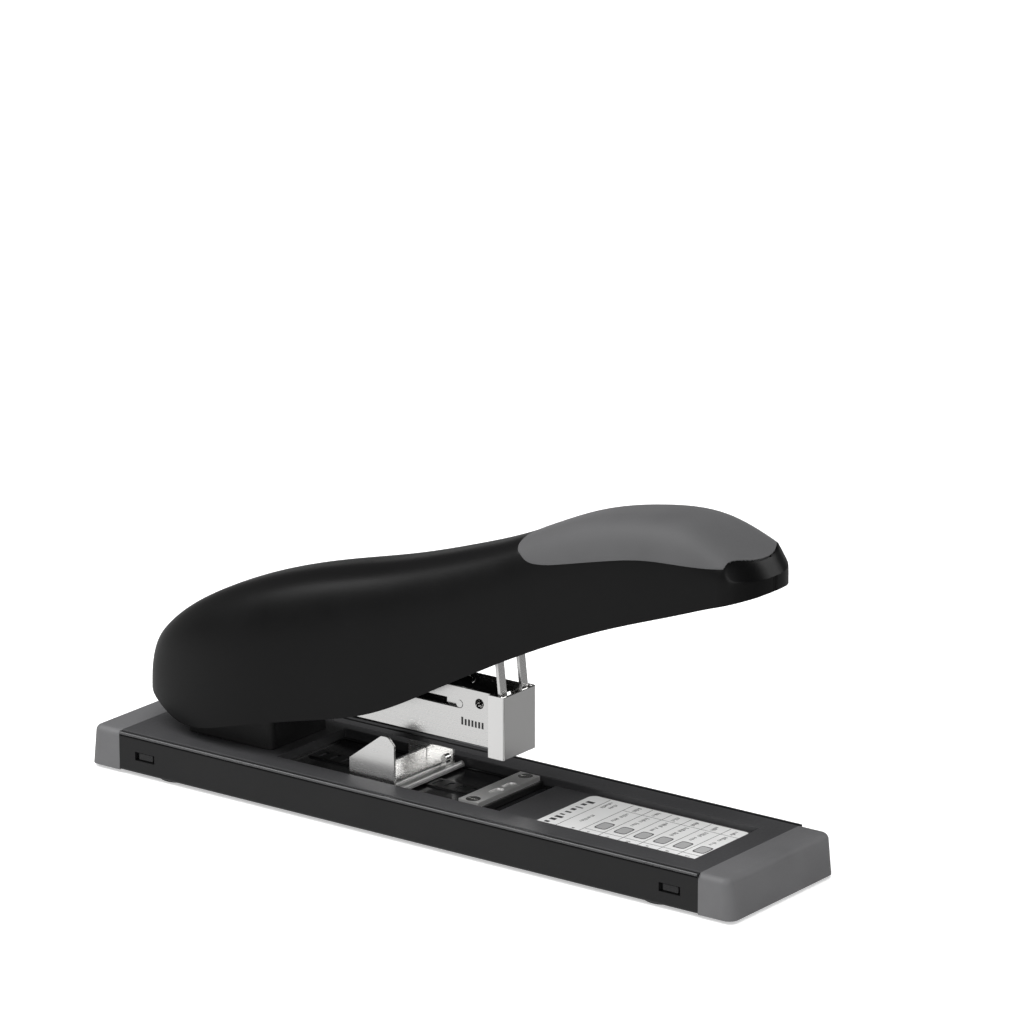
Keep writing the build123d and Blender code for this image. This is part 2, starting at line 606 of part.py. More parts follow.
def driver_blade():
    """The blade over the front staple, with a shoulder and two tabs for the link."""
    z0 = STAPLE_CROWN_Z + STAPLE_WIRE + 0.6
    z1 = z0 + BLADE_HEIGHT
    x = (BLADE_X, BLADE_X + BLADE_THICKNESS)
    blade = block(x, (-STAPLE_HALF + 0.1, STAPLE_HALF - 0.1), (z0, z1))
    blade += block(x, (-MAGAZINE_INSIDE_Y, MAGAZINE_INSIDE_Y), (z0 + 1.2, z1))
    for side in (-1, 1):
        y = sorted((side * TAB_Y[0], side * TAB_Y[1]))
        z = (LINK_HINGE[1] - TAB_HALF_HEIGHT, LINK_HINGE[1] + TAB_HALF_HEIGHT)
        blade += block((BLADE_X, LINK_HINGE[0] + LEG_THICKNESS / 2 + 0.3), y, z)
    return blade


def driver_link():
    """A fork of two flat legs under a rolled eye, leaning back to the handle."""
    eye = LINK_PIN_RADIUS + OPEN_PIVOT_GAP
    half = LEG_THICKNESS / 2
    fork = cross_pin(0, 0, eye + LEG_THICKNESS, (-LEG_Y[1], LEG_Y[1]))
    for side in (-1, 1):
        y = sorted((side * LEG_Y[0], side * LEG_Y[1]))
        fork += block((-half, half), y, (-LINK_LENGTH - 3, -eye))
        window = sorted((side * (TAB_Y[0] - 0.4), side * (TAB_Y[1] + 0.4)))
        reach = TAB_HALF_HEIGHT + WINDOW_GAP
        fork -= block((-3, 3), window, (-LINK_LENGTH - reach, -LINK_LENGTH + reach))
    fork -= cross_pin(0, 0, eye, (-20, 20))
    return Pos(LINK_TOP[0], 0, LINK_TOP[1]) * Rot(0, -LINK_LEAN, 0) * fork


# ---- handle ----------------------------------------------------------------
# Each station along X gives the half width, the height of the lower edge and the crest.
HANDLE_STATIONS = [
    (-127.6, 7.3, 31.2, 44.1),
    (-124.5, 12.6, 27.3, 48.0),
    (-118.0, 16.9, 24.2, 54.1),
    (-104.0, 21.4, 20.0, 63.4),
    (-81.0, HANDLE_REAR_HALF_WIDTH, 24.0, 74.0),
    (-50.0, 23.4, 32.0, 83.8),
    (-20.0, 22.3, 40.2, 91.5),
    (5.0, 21.3, 52.5, 99.2),
    (30.0, 20.5, 66.0, 108.3),
    (60.0, 19.6, 80.6, 121.8),
    (84.0, 19.2, 90.4, 126.3),
    (108.0, 18.6, 98.9, 125.6),
    (120.0, 17.8, 103.2, 121.3),
    (HANDLE_NOSE_X, 13.6, 107.4, 118.0),
]
NOSE_FACET = ((127.5, 120.8), (HANDLE_NOSE_X, 112.8))
SECTION_POWER = 4.0


def handle_section(x, half, low, top):
    """One cross-section: a flat bottom under flanks and a crown that blend as a power curve."""
    tall = top - low
    flank = []
    for t in (0, 0.3, 0.55, 0.72, 0.84):
        flank.append((half * (1 - t**SECTION_POWER) ** (1 / SECTION_POWER), low + tall * t))
    crown = []
    for s in (0.78, 0.55, 0.3):
        crown.append((half * s, low + tall * (1 - s**SECTION_POWER) ** (1 / SECTION_POWER)))
    right = flank + crown
    left = [(-y, z) for y, z in reversed(right)]
    arch = Spline(*[(x, y, z) for y, z in right + [(0, top)] + left])
    return make_face([arch, Line((x, -half, low), (x, half, low))])


def handle_body(inset, drop):
    """A smooth solid through every station, thinner all round by the inset, lower by the drop."""
    middle = (HANDLE_STATIONS[0][0] + HANDLE_STATIONS[-1][0]) / 2
    reach = HANDLE_STATIONS[-1][0] - middle
    sections = []
    for x, half, low, top in HANDLE_STATIONS:
        moved = middle + (x - middle) * (1 - inset / reach)
        sections.append(handle_section(moved, half - inset, low - drop, top - inset))
    return loft(sections)


def nose_waste():
    """The corner cut off the top of the nose."""
    (x0, z0), (x1, z1) = NOSE_FACET
    far = HANDLE_NOSE_X + 20
    slope = (z1 - z0) / (x1 - x0)
    corner = outline((x0 - 20, z0 - 20 * slope), (far, z0 + (far - x0) * slope), (far, z0 + 40))
    return side_plate(corner, (-40, 40))


HANDLE_FORM = handle_body(0, 0) - nose_waste()


# Heights of the grip's lower border along X, from its upright rear border to the nose.
GRIP_WAVE = [
    (39.5, 110.0),
    (42.0, 107.4),
    (48.0, 105.7),
    (60.0, 107.8),
    (75.0, 111.5),
    (91.0, 114.9),
    (108.0, 116.1),
    (120.0, 117.6),
    (132.0, 121.5),
]


def grip_region():
    """The space above a wavy line along the flank, where the soft grip lies."""
    wave = Spline(*[(x, 0, z) for x, z in GRIP_WAVE])
    rear, front = GRIP_WAVE[0], GRIP_WAVE[-1]
    roof = 150.0
    rim = Polyline((front[0], 0, front[1]), (roof, 0, roof), (rear[0], 0, roof), (rear[0], 0, rear[1]))
    return side_plate(make_face([wave, rim]), (-40, 40))


def grip_pad():
    """The soft pad let into the top of the handle."""
    skin = HANDLE_FORM - handle_body(GRIP_THICKNESS, 10)
    return skin & grip_region()


GRIP_PAD = grip_pad()
BOSS_PLACES = (60.0, 108.0)
BOSS_RADIUS = 3.5
SCREW_RADIUS = 1.5


def handle_shell():
    """The moulded handle, open below, with two screw bosses onto the lever."""
    wall = HANDLE_WALL + GRIP_THICKNESS
    shell = HANDLE_FORM - handle_body(wall, 30) - GRIP_PAD
    for reach in BOSS_PLACES:
        boss = in_lever_frame(upright(reach, 0, BOSS_RADIUS, (LEVER_TOP, LEVER_TOP + 60)))
        shell += boss & handle_body(wall - 0.8, 0)
        shell -= in_lever_frame(upright(reach, 0, SCREW_RADIUS, (0, LEVER_TOP + 8)))
    return shell


LEVER_TOP = 8.0
LEVER_EYE = 7.6


def lever_frame():
    """An inverted steel channel from the pivot to the link pin."""
    inner = LEVER_HALF_WIDTH - LEVER_WALL
    plates = []
    bar = outline(
        (0, -LEVER_EYE),
        (LEVER_LENGTH, -LEVER_EYE),
        (LEVER_LENGTH + 5, LEVER_TOP),
        (14, LEVER_TOP),
        (0, LEVER_EYE),
    )
    for side in (-1, 1):
        y = sorted((side * LEVER_HALF_WIDTH, side * inner))
        plate = side_plate(bar, y) + cross_pin(0, 0, LEVER_EYE, y)
        plates.append(plate + cross_pin(LEVER_LENGTH, 0, LEVER_EYE, y))
    web_z = (LEVER_TOP - LEVER_WALL, LEVER_TOP)
    web = block((16, LEVER_LENGTH + 5), (-LEVER_HALF_WIDTH, LEVER_HALF_WIDTH), web_z)
    frame = joined(web, *plates)
    frame -= cross_pin(0, 0, PIVOT_RADIUS + RUNNING_GAP, (-20, 20))
    frame -= cross_pin(LEVER_LENGTH, 0, LINK_PIN_RADIUS, (-20, 20))
    for reach in BOSS_PLACES:
        frame -= upright(reach, 0, SCREW_RADIUS, (0, 20))
    return in_lever_frame(frame)


def link_pin():
    """The pin at the top of the driver link, fixed in the lever."""
    half = LEVER_HALF_WIDTH + 0.8
    return in_lever_frame(cross_pin(LEVER_LENGTH, 0, LINK_PIN_RADIUS, (-half, half)))


def handle_screws():
    """Two screws that hold the moulded handle on the lever."""
    screws = []
    for reach in BOSS_PLACES:
        shank = upright(reach, 0, SCREW_RADIUS, (LEVER_TOP - LEVER_WALL, LEVER_TOP + 7))
        head = upright(reach, 0, 2.8, (LEVER_TOP - LEVER_WALL - 1.8, LEVER_TOP - LEVER_WALL))
        screws.append(in_lever_frame(shank + head))
    return Compound(screws)


# ---- return springs --------------------------------------------------------
HANDLE_SPRING_X = 4.0


def handle_return_spring():
    """The spring between the magazine's lid and the lever."""
    tilt = radians(LEVER_ANGLE)
    reach = (HANDLE_SPRING_X - PIVOT_X) / cos(tilt)
    roof = PIVOT_Z + reach * sin(tilt) + (LEVER_TOP - LEVER_WALL) * cos(tilt) - 1.6
    return coil(HANDLE_SPRING_X, 0, (TOP_PLATE_Z[1], roof), 4.0, 0.6, 6)


def magazine_return_spring():
    """The spring between the bracket and the magazine's spring seat."""
    z = (PAN_INSIDE_Z + BRACKET_FLOOR, PIVOT_Z - ARM_HALF_HEIGHT)
    return coil(MAGAZINE_SPRING_X, 0, z, 4.2, 0.7, 6)


# ---- write every node ------------------------------------------------------
NODES = {
    "base_pan": base_pan(),
    "deck_cover": deck_cover(),
    "front_end_cap": end_cap(1),
    "rear_end_cap": end_cap(-1),
    "foot_pads": foot_pads(),
    "anvil_block": anvil_block(),
    "anvil_plate": anvil_plate(),
    "anvil_screws": anvil_screws(),
    "instruction_label": instruction_label(),
    "guide_rack": guide_rack(),
    "hinge_bracket": hinge_bracket(),
    "bracket_rivets": bracket_rivets(),
    "hinge_housing": hinge_housing(),
    "pivot_pin": pivot_pin(),
    "pin_clip": pin_clip(),
    "guide_plate": guide_plate(),
    "guide_fence": guide_fence(),
    "guide_shoe": guide_shoe(),
    "guide_clip": guide_clip(),
    "magazine_channel": magazine_channel(),
    "magazine_front_cover": magazine_front_cover(),
    "staple_rail": staple_rail(),
    "rail_pin": rail_pin(),
    "magazine_top_plate": magazine_top_plate(),
    "spring_seat": spring_seat(),
    "pusher_rod": pusher_rod(),
    "staple_row": staple_row(),
    "staple_pusher": staple_pusher(),
    "pusher_spring": pusher_spring(),
    "driver_blade": driver_blade(),
    "driver_link": driver_link(),
    "handle_shell": handle_shell(),
    "grip_pad": GRIP_PAD,
    "lever_frame": lever_frame(),
    "link_pin": link_pin(),
    "handle_screws": handle_screws(),
    "handle_return_spring": handle_return_spring(),
    "magazine_return_spring": magazine_return_spring(),
}

os.makedirs("parts", exist_ok=True)
for name, shape in NODES.items():
    export_step(shape, f"parts/{name}.step")
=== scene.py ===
"""The looks of a heavy-duty desktop stapler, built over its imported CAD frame.

Every length is in metres and every piece stands in the frame of the CAD model:
+X to the front, +Y to the side, +Z up, with the origin under the middle of the base.
"""

from __future__ import annotations

import logging
import math
from dataclasses import dataclass, field
from enum import Enum

import bmesh
import bpy
import numpy as np
from mathutils import Matrix, Vector

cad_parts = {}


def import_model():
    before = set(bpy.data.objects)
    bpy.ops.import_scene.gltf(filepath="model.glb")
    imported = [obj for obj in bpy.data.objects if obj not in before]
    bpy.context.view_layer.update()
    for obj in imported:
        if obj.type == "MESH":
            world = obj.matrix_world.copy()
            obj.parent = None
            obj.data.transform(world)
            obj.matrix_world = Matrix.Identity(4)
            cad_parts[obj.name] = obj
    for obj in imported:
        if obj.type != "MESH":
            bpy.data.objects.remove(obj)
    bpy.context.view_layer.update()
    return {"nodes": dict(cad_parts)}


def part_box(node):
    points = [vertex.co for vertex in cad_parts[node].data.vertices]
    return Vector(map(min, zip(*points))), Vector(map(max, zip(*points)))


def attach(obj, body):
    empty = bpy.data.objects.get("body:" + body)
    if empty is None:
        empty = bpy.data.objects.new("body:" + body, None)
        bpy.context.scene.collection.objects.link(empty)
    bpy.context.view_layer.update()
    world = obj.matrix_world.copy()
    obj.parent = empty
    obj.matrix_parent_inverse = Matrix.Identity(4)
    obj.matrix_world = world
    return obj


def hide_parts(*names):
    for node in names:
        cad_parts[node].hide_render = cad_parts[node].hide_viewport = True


MM = 0.001
LOG = logging.getLogger("stapler")
Array = np.ndarray


# ---------------------------------------------------------------------------
# Meshes
# ---------------------------------------------------------------------------
def grid_quads(rows: int, cols: int, wrap: bool = False) -> Array:
    """The quads between neighbouring rows and columns of a grid of points.

    Args:
        rows: Number of rows.
        cols: Number of columns.
        wrap: Joins the last column to the first.

    Returns:
        Vertex numbers, four to a quad, for points counted row by row.
    """
    i = np.arange(rows - 1)[:, None]
    j = np.arange(cols if wrap else cols - 1)[None, :]
    k = (j + 1) % cols
    quads = np.stack([i * cols + j, i * cols + k, (i + 1) * cols + k, (i + 1) * cols + j], axis=-1)
    return quads.reshape(-1, 4)


def signed_volume(points: Array, quads: Array) -> float:
    """Sums the tetrahedra between the origin and every half quad.

    Args:
        points: Points, one a row.
        quads: Vertex numbers, four to a quad.

    Returns:
        The enclosed volume, which is positive when the faces point outwards.
    """
    a, b, c, d = (points[quads[:, n]] for n in range(4))
    first = np.einsum("ij,ij->i", a, np.cross(b, c)).sum()
    second = np.einsum("ij,ij->i", a, np.cross(c, d)).sum()
    return float(first + second) / 6.0


def closed_piece(name: str, points: Array, quads: Array, sharp: float = 35.0) -> bpy.types.Object:
    """Makes a closed surface into an object whose faces point outwards.

    Args:
        name: Name of the piece.
        points: Points in the CAD frame, one a row.
        quads: Vertex numbers, four to a quad.
        sharp: Edges that turn by more degrees than this are shaded sharp.

    Returns:
        The new object, linked to the scene.
    """
    if signed_volume(points, quads) < 0:
        quads = quads[:, ::-1]
    mesh = bpy.data.meshes.new(name)
    mesh.vertices.add(len(points))
    mesh.vertices.foreach_set("co", points.astype(np.float32).ravel())
    mesh.loops.add(quads.size)
    mesh.loops.foreach_set("vertex_index", quads.astype(np.int32).ravel())
    mesh.polygons.add(len(quads))
    mesh.polygons.foreach_set("loop_start", np.arange(0, quads.size, 4, dtype=np.int32))
    mesh.update(calc_edges=True)
    mesh.validate()
    piece = bpy.data.objects.new(name, mesh)
    bpy.context.scene.collection.objects.link(piece)
    weld_seams(piece)
    mesh.shade_smooth()
    mesh.set_sharp_from_angle(angle=math.radians(sharp))
    return piece


def weld_seams(piece: bpy.types.Object, distance: float = 2e-6) -> None:
    """Merges points that share a place, which closes the seams and poles of a grid.

    Args:
        piece: The object whose mesh is changed.
        distance: Points nearer than this become one.
    """
    work = bmesh.new()
    work.from_mesh(piece.data)
    bmesh.ops.remove_doubles(work, verts=work.verts, dist=distance)
    bmesh.ops.dissolve_degenerate(work, edges=work.edges, dist=distance / 4)
    work.to_mesh(piece.data)
    work.free()


def walled(outer: Array, inner: Array) -> tuple[Array, Array]:
    """Closes the space between two grids of the same shape with a rim along all four borders.

    Args:
        outer: Points of the outer face, rows by columns by three.
        inner: Points of the inner face, in the same order.

    Returns:
        The points and the quads of the closed surface.
    """
    rows, cols = outer.shape[:2]
    count = rows * cols
    face = grid_quads(rows, cols)
    number = np.arange(count).reshape(rows, cols)
    border = np.concatenate([number[0, :-1], number[:-1, -1], number[-1, :0:-1], number[:0:-1, 0]])
    ahead = np.roll(border, -1)
    rim = np.stack([ahead, border, border + count, ahead + count], axis=-1)
    points = np.concatenate([outer.reshape(-1, 3), inner.reshape(-1, 3)])
    return points, np.concatenate([face, face[:, ::-1] + count, rim])


def slabs(lows: Array, highs: Array) -> tuple[Array, Array]:
    """Many plain boxes as one mesh: the corners are every mix of the low and high limits.

    Args:
        lows: Lowest corners, one a row.
        highs: Highest corners, one a row.

    Returns:
        The points and the quads of all boxes.
    """
    ring = [[0, 0], [1, 0], [1, 1], [0, 1]]
    pick = np.array([[x, y, z] for z in (0, 1) for x, y in ring])
    points = lows[:, None, :] + pick[None] * (highs - lows)[:, None, :]
    box = np.array([[0, 3, 2, 1], [4, 5, 6, 7], [0, 1, 5, 4], [1, 2, 6, 5], [2, 3, 7, 6], [3, 0, 4, 7]])
    quads = box[None] + 8 * np.arange(len(lows))[:, None, None]
    return points.reshape(-1, 3), quads.reshape(-1, 4)


def soften(piece: bpy.types.Object, width: float, steps: int = 2, angle: float = 32.0) -> None:
    """Breaks a piece's sharp edges with a small bevel, after its loose triangles are welded.

    Args:
        piece: The object, whose own mesh stays as it is.
        width: Width of the bevel.
        steps: Segments across it.
        angle: Edges that turn by fewer degrees are left alone.
    """
    weld = piece.modifiers.new("Weld", "WELD")
    weld.merge_threshold = 1e-6
    bevel = piece.modifiers.new("Bevel", "BEVEL")
    bevel.width = width
    bevel.segments = steps
    bevel.limit_method = "ANGLE"
    bevel.angle_limit = math.radians(angle)
    bevel.harden_normals = False
    bevel.use_clamp_overlap = True
    weigh = piece.modifiers.new("WeightedNormal", "WEIGHTED_NORMAL")
    weigh.mode = "FACE_AREA_WITH_ANGLE"
    weigh.weight = 90
    weigh.keep_sharp = True


# ---------------------------------------------------------------------------
# Finishes
# ---------------------------------------------------------------------------
class Grain(Enum):
    """How the fine relief of a finish runs."""

    EVEN = (1.0, 1.0, 1.0)
    ALONG_X = (0.06, 1.0, 1.0)
    ALONG_Z = (1.0, 1.0, 0.06)


@dataclass(frozen=True)
class Finish:
    """A finish whose tone, gloss and relief vary in step with the real surface.

    Attributes:
        name: Name of the material.
        tone: Linear colour.
        roughness: Middle roughness.
        metal: Zero or one.
        gloss: Specular level of the surface.
        grain: Direction of the relief.
        grain_size: Size of the relief's features.
        relief: Height of the relief.
        unevenness: How far roughness strays to each side.
        mottle: How far the tone strays, as a share.
        mottle_size: Size of the patches.
        coat: Weight of a clear coat.
        sheen: Weight of a soft sheen.
    """

    name: str
    tone: tuple[float, float, float]
    roughness: float
    metal: float = 0.0
    gloss: float = 0.5
    grain: Grain = Grain.EVEN
    grain_size: float = 0.4 * MM
    relief: float = 0.01 * MM
    unevenness: float = 0.06
    mottle: float = 0.08
    mottle_size: float = 18 * MM
    coat: float = 0.0
    sheen: float = 0.0

    def material(self) -> bpy.types.Material:
        """Builds the node material once and hands the same one out afterwards."""
        made = bpy.data.materials.get(self.name)
        if made is not None:
            return made
        made = bpy.data.materials.new(self.name)
        made.use_nodes = True
        self.wire(Board(made))
        return made

    def wire(self, board: "Board") -> None:
        """Adds patches of tone and roughness, fine scuffs and the relief to a board."""
        shader = board.shader
        shader.inputs["Metallic"].default_value = self.metal
        shader.inputs["Specular IOR Level"].default_value = self.gloss
        shader.inputs["Coat Weight"].default_value = self.coat
        shader.inputs["Coat Roughness"].default_value = 0.12
        shader.inputs["Sheen Weight"].default_value = self.sheen
        shader.inputs["Sheen Roughness"].default_value = 0.4
        place = board.place(self.grain.value)
        patches = board.noise(place, 1.0 / self.mottle_size, 3.0, 0.55)
        low = tuple(c * (1 - self.mottle) for c in self.tone)
        high = tuple(min(1.0, c * (1 + self.mottle)) for c in self.tone)
        board.link(board.ramp(patches, low, high), shader.inputs["Base Color"])
        scuffs = board.noise(place, 0.35 / self.grain_size, 2.0, 0.6)
        mixed = board.math("ADD", patches, scuffs)
        limits = (self.roughness - self.unevenness, self.roughness + self.unevenness)
        spread = board.spread(mixed, (0.6, 1.4), limits)
        board.link(spread, shader.inputs["Roughness"])
        fine = board.noise(place, 1.0 / self.grain_size, 4.0, 0.6)
        board.link(board.bump(fine, self.relief), shader.inputs["Normal"])


class Board:
    """A material's node tree, with short ways to add the nodes that the finishes share."""

    def __init__(self, material: bpy.types.Material) -> None:
        """Starts from the material's own shader."""
        self.tree = material.node_tree
        self.shader = next(n for n in self.tree.nodes if n.type == "BSDF_PRINCIPLED")
        self.coordinates = self.tree.nodes.new("ShaderNodeTexCoord")

    def link(self, source: bpy.types.NodeSocket, target: bpy.types.NodeSocket) -> None:
        """Joins two sockets."""
        self.tree.links.new(source, target)

    def place(self, scale: tuple[float, float, float]) -> bpy.types.NodeSocket:
        """Object coordinates, shrunk along the axes that the grain runs with."""
        node = self.tree.nodes.new("ShaderNodeMapping")
        node.inputs["Scale"].default_value = scale
        self.link(self.coordinates.outputs["Object"], node.inputs["Vector"])
        return node.outputs["Vector"]

    def noise(
        self, place: bpy.types.NodeSocket, scale: float, detail: float, rough: float
    ) -> bpy.types.NodeSocket:
        """A noise pattern.

        Args:
            place: Where the pattern is read.
            scale: Features to a metre.
            detail: Octaves.
            rough: Weight of the finer octaves.

        Returns:
            The value of the noise.
        """
        node = self.tree.nodes.new("ShaderNodeTexNoise")
        node.inputs["Scale"].default_value = scale
        node.inputs["Detail"].default_value = detail
        node.inputs["Roughness"].default_value = rough
        self.link(place, node.inputs["Vector"])
        return node.outputs["Fac"]

    def ramp(self, value: bpy.types.NodeSocket, low: tuple, high: tuple) -> bpy.types.NodeSocket:
        """A colour between two, by the middle half of a value's range."""
        node = self.tree.nodes.new("ShaderNodeValToRGB")
        node.color_ramp.elements[0].position = 0.3
        node.color_ramp.elements[1].position = 0.7
        node.color_ramp.elements[0].color = (*low, 1.0)
        node.color_ramp.elements[1].color = (*high, 1.0)
        self.link(value, node.inputs["Fac"])
        return node.outputs["Color"]

    def blend(self, value: bpy.types.NodeSocket, first, second) -> bpy.types.NodeSocket:
        """A colour that goes from the first to the second as a value goes from 0 to 1."""
        node = self.tree.nodes.new("ShaderNodeMix")
        node.data_type = "RGBA"
        self.link(value, node.inputs[0])
        for source, target in ((first, node.inputs[6]), (second, node.inputs[7])):
            if isinstance(source, tuple):
                target.default_value = (*source, 1.0)
            else:
                self.link(source, target)
        return node.outputs[2]

    def math(self, operation: str, first, second) -> bpy.types.NodeSocket:
        """A sum, product or other operation on two values."""
        node = self.tree.nodes.new("ShaderNodeMath")
        node.operation = operation
        for source, target in zip((first, second), node.inputs):
            if isinstance(source, (int, float)):
                target.default_value = source
            else:
                self.link(source, target)
        return node.outputs["Value"]

    def spread(self, value: bpy.types.NodeSocket, source: tuple, target: tuple) -> bpy.types.NodeSocket:
        """A value carried from one range to another and held inside it."""
        node = self.tree.nodes.new("ShaderNodeMapRange")
        for socket, number in zip(list(node.inputs)[1:5], (*source, *target)):
            socket.default_value = number
        self.link(value, node.inputs["Value"])
        return node.outputs["Result"]

    def height(self) -> bpy.types.NodeSocket:
        """The height above the ground."""
        node = self.tree.nodes.new("ShaderNodeSeparateXYZ")
        self.link(self.coordinates.outputs["Object"], node.inputs["Vector"])
        return node.outputs["Z"]

    def bump(self, value: bpy.types.NodeSocket, height: float) -> bpy.types.NodeSocket:
        """A normal that leans with a relief of the given height."""
        node = self.tree.nodes.new("ShaderNodeBump")
        node.inputs["Distance"].default_value = height
        node.inputs["Strength"].default_value = 0.8
        self.link(value, node.inputs["Height"])
        return node.outputs["Normal"]


@dataclass(frozen=True)
class DeckFinish(Finish):
    """The deck's satin plastic, darker and glossier on the floor of its tub."""

    floor_tone: tuple[float, float, float] = (0.012, 0.012, 0.0125)
    floor_height: tuple[float, float] = (11.9 * MM, 12.7 * MM)

    def wire(self, board: Board) -> None:
        """Adds the change of tone and gloss between the floor and the top."""
        Finish.wire(self, board)
        up = board.spread(board.height(), self.floor_height, (0.0, 1.0))
        tone = board.shader.inputs["Base Color"].links[0].from_socket
        gloss = board.shader.inputs["Roughness"].links[0].from_socket
        board.link(board.blend(up, self.floor_tone, tone), board.shader.inputs["Base Color"])
        share = board.spread(board.height(), self.floor_height, (0.45, 1.0))
        board.link(board.math("MULTIPLY", gloss, share), board.shader.inputs["Roughness"])


HANDLE_BLACK = Finish(
    "HandleBlack", (0.003, 0.003, 0.0031), 0.34, gloss=0.17, grain_size=0.25 * MM, relief=0.004 * MM
)
HOUSING_BLACK = Finish(
    "HousingBlack", (0.008, 0.008, 0.0083), 0.5, gloss=0.3, grain_size=0.3 * MM, relief=0.008 * MM
)
DECK_GREY = DeckFinish(
    "DeckGrey", (0.05, 0.05, 0.052), 0.42, gloss=0.35, grain_size=0.35 * MM, relief=0.006 * MM
)
CAP_GREY = Finish("CapGrey", (0.115, 0.115, 0.118), 0.55, gloss=0.4, grain_size=0.3 * MM, relief=0.01 * MM)
GRIP_GREY = Finish(
    "GripGrey", (0.078, 0.078, 0.08), 0.6, gloss=0.3, grain_size=0.22 * MM, relief=0.014 * MM,
    mottle=0.05, sheen=0.12
)
PAN_BLACK = Finish(
    "PanBlack", (0.009, 0.009, 0.0093), 0.36, gloss=0.28, grain_size=0.6 * MM, relief=0.006 * MM
)
FOOT_RUBBER = Finish("FootRubber", (0.02, 0.02, 0.02), 0.85, gloss=0.2, relief=0.02 * MM)
NICKEL = Finish(
    "Nickel", (0.9, 0.895, 0.885), 0.27, 1.0, grain=Grain.ALONG_X, grain_size=0.3 * MM,
    relief=0.0001 * MM, unevenness=0.03, mottle=0.015
)
COVER_NICKEL = Finish(
    "CoverNickel", (0.97, 0.965, 0.955), 0.22, 1.0, grain=Grain.ALONG_Z, grain_size=0.3 * MM,
    relief=0.0001 * MM, unevenness=0.03, mottle=0.015
)
SATIN = Finish("SatinNickel", (0.8, 0.795, 0.785), 0.5, 0.8, relief=0.002 * MM, unevenness=0.05, mottle=0.03)
BRIGHT = Finish("BrightSteel", (0.85, 0.85, 0.84), 0.2, 1.0, relief=0.0006 * MM, mottle=0.02, unevenness=0.04)
RIM = Finish("PanRim", (0.05, 0.05, 0.052), 0.3, gloss=0.5, relief=0.002 * MM)
# Near-black painted shade for the strip that stands in for the groove under the rim bead.
RIM_GROOVE_SHADE = Finish("RimGrooveShade", (0.002, 0.002, 0.002), 0.6, gloss=0.1, relief=0.002 * MM)
DARK_STEEL = Finish("DarkSteel", (0.09, 0.09, 0.092), 0.36, 1.0, grain=Grain.ALONG_X, relief=0.003 * MM)
WIRE = Finish("StapleWire", (0.7, 0.69, 0.67), 0.28, 1.0, grain=Grain.ALONG_Z, relief=0.002 * MM)
PAPER = Finish(
    "LabelPaper", (0.78, 0.78, 0.775), 0.5, gloss=0.35, grain_size=0.5 * MM, relief=0.003 * MM, mottle=0.025
)
# Dark tone of the stamped strokes, also used for the strip of painted shadow at the cover's seam.
MARK_AND_SEAM_SHADE = Finish("StampedMarkAndSeamShade", (0.03, 0.03, 0.03), 0.5, gloss=0.3, relief=0.002 * MM)
INK = Finish(
    "LabelInk", (0.035, 0.035, 0.036), 0.45, gloss=0.3, grain_size=0.2 * MM, relief=0.001 * MM, mottle=0.2
)
INK_GREY = Finish(
    "LabelGreyInk", (0.42, 0.42, 0.42), 0.45, gloss=0.3, grain_size=0.2 * MM, relief=0.001 * MM
)


def dress(piece: bpy.types.Object, finish: Finish) -> None:
    """Gives a piece or a CAD node one finish, in its material slots."""
    if not piece.material_slots:
        piece.data.materials.append(None)
    for holder in piece.material_slots:
        holder.material = finish.material()


def settle(piece: bpy.types.Object, body: str, finish: Finish) -> bpy.types.Object:
    """Dresses a new piece and lets it ride on a body.

    Args:
        piece: The new piece.
        body: The body that it moves with.
        finish: Its looks.

    Returns:
        The same piece.
    """
    dress(piece, finish)
    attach(piece, body)
    LOG.info("%s rides on %s, %d faces", piece.name, body, len(piece.data.polygons))
    return piece


# ---------------------------------------------------------------------------
# Handle
# ---------------------------------------------------------------------------
def soft_min(a: Array, b: Array, width: float) -> Array:
    """The smaller of two values, rounded over where they come close.

    Args:
        a: First values.
        b: Second values.
        width: How near each other the values are where the rounding starts.

    Returns:
        The rounded minimum.
    """
    h = np.clip(0.5 + 0.5 * (b - a) / width, 0.0, 1.0)
    return b * (1 - h) + a * h - width * h * (1 - h)


def through(knots: Array, values: Array, at: Array) -> Array:
    """A natural cubic spline through some values, solved for all of their columns at once.

    Args:
        knots: Increasing parameters of the given points.
        values: Points by columns.
        at: Parameters wanted.

    Returns:
        The columns at each wanted parameter.
    """
    n = len(knots)
    gap = np.diff(knots)
    rows = np.arange(1, n - 1)
    system = np.eye(n)
    system[rows, rows - 1] = gap[:-1]
    system[rows, rows] = 2 * (gap[:-1] + gap[1:])
    system[rows, rows + 1] = gap[1:]
    slope = np.diff(values, axis=0) / gap[:, None]
    right = np.zeros_like(values)
    right[1:-1] = 6 * np.diff(slope, axis=0)
    bend = np.linalg.solve(system, right)
    i = np.clip(np.searchsorted(knots, at) - 1, 0, n - 2)
    t = (at - knots[i])[:, None]
    h = gap[i][:, None]
    lead = slope[i] - h * (2 * bend[i] + bend[i + 1]) / 6
    return values[i] + lead * t + bend[i] * t**2 / 2 + (bend[i + 1] - bend[i]) * t**3 / (6 * h)


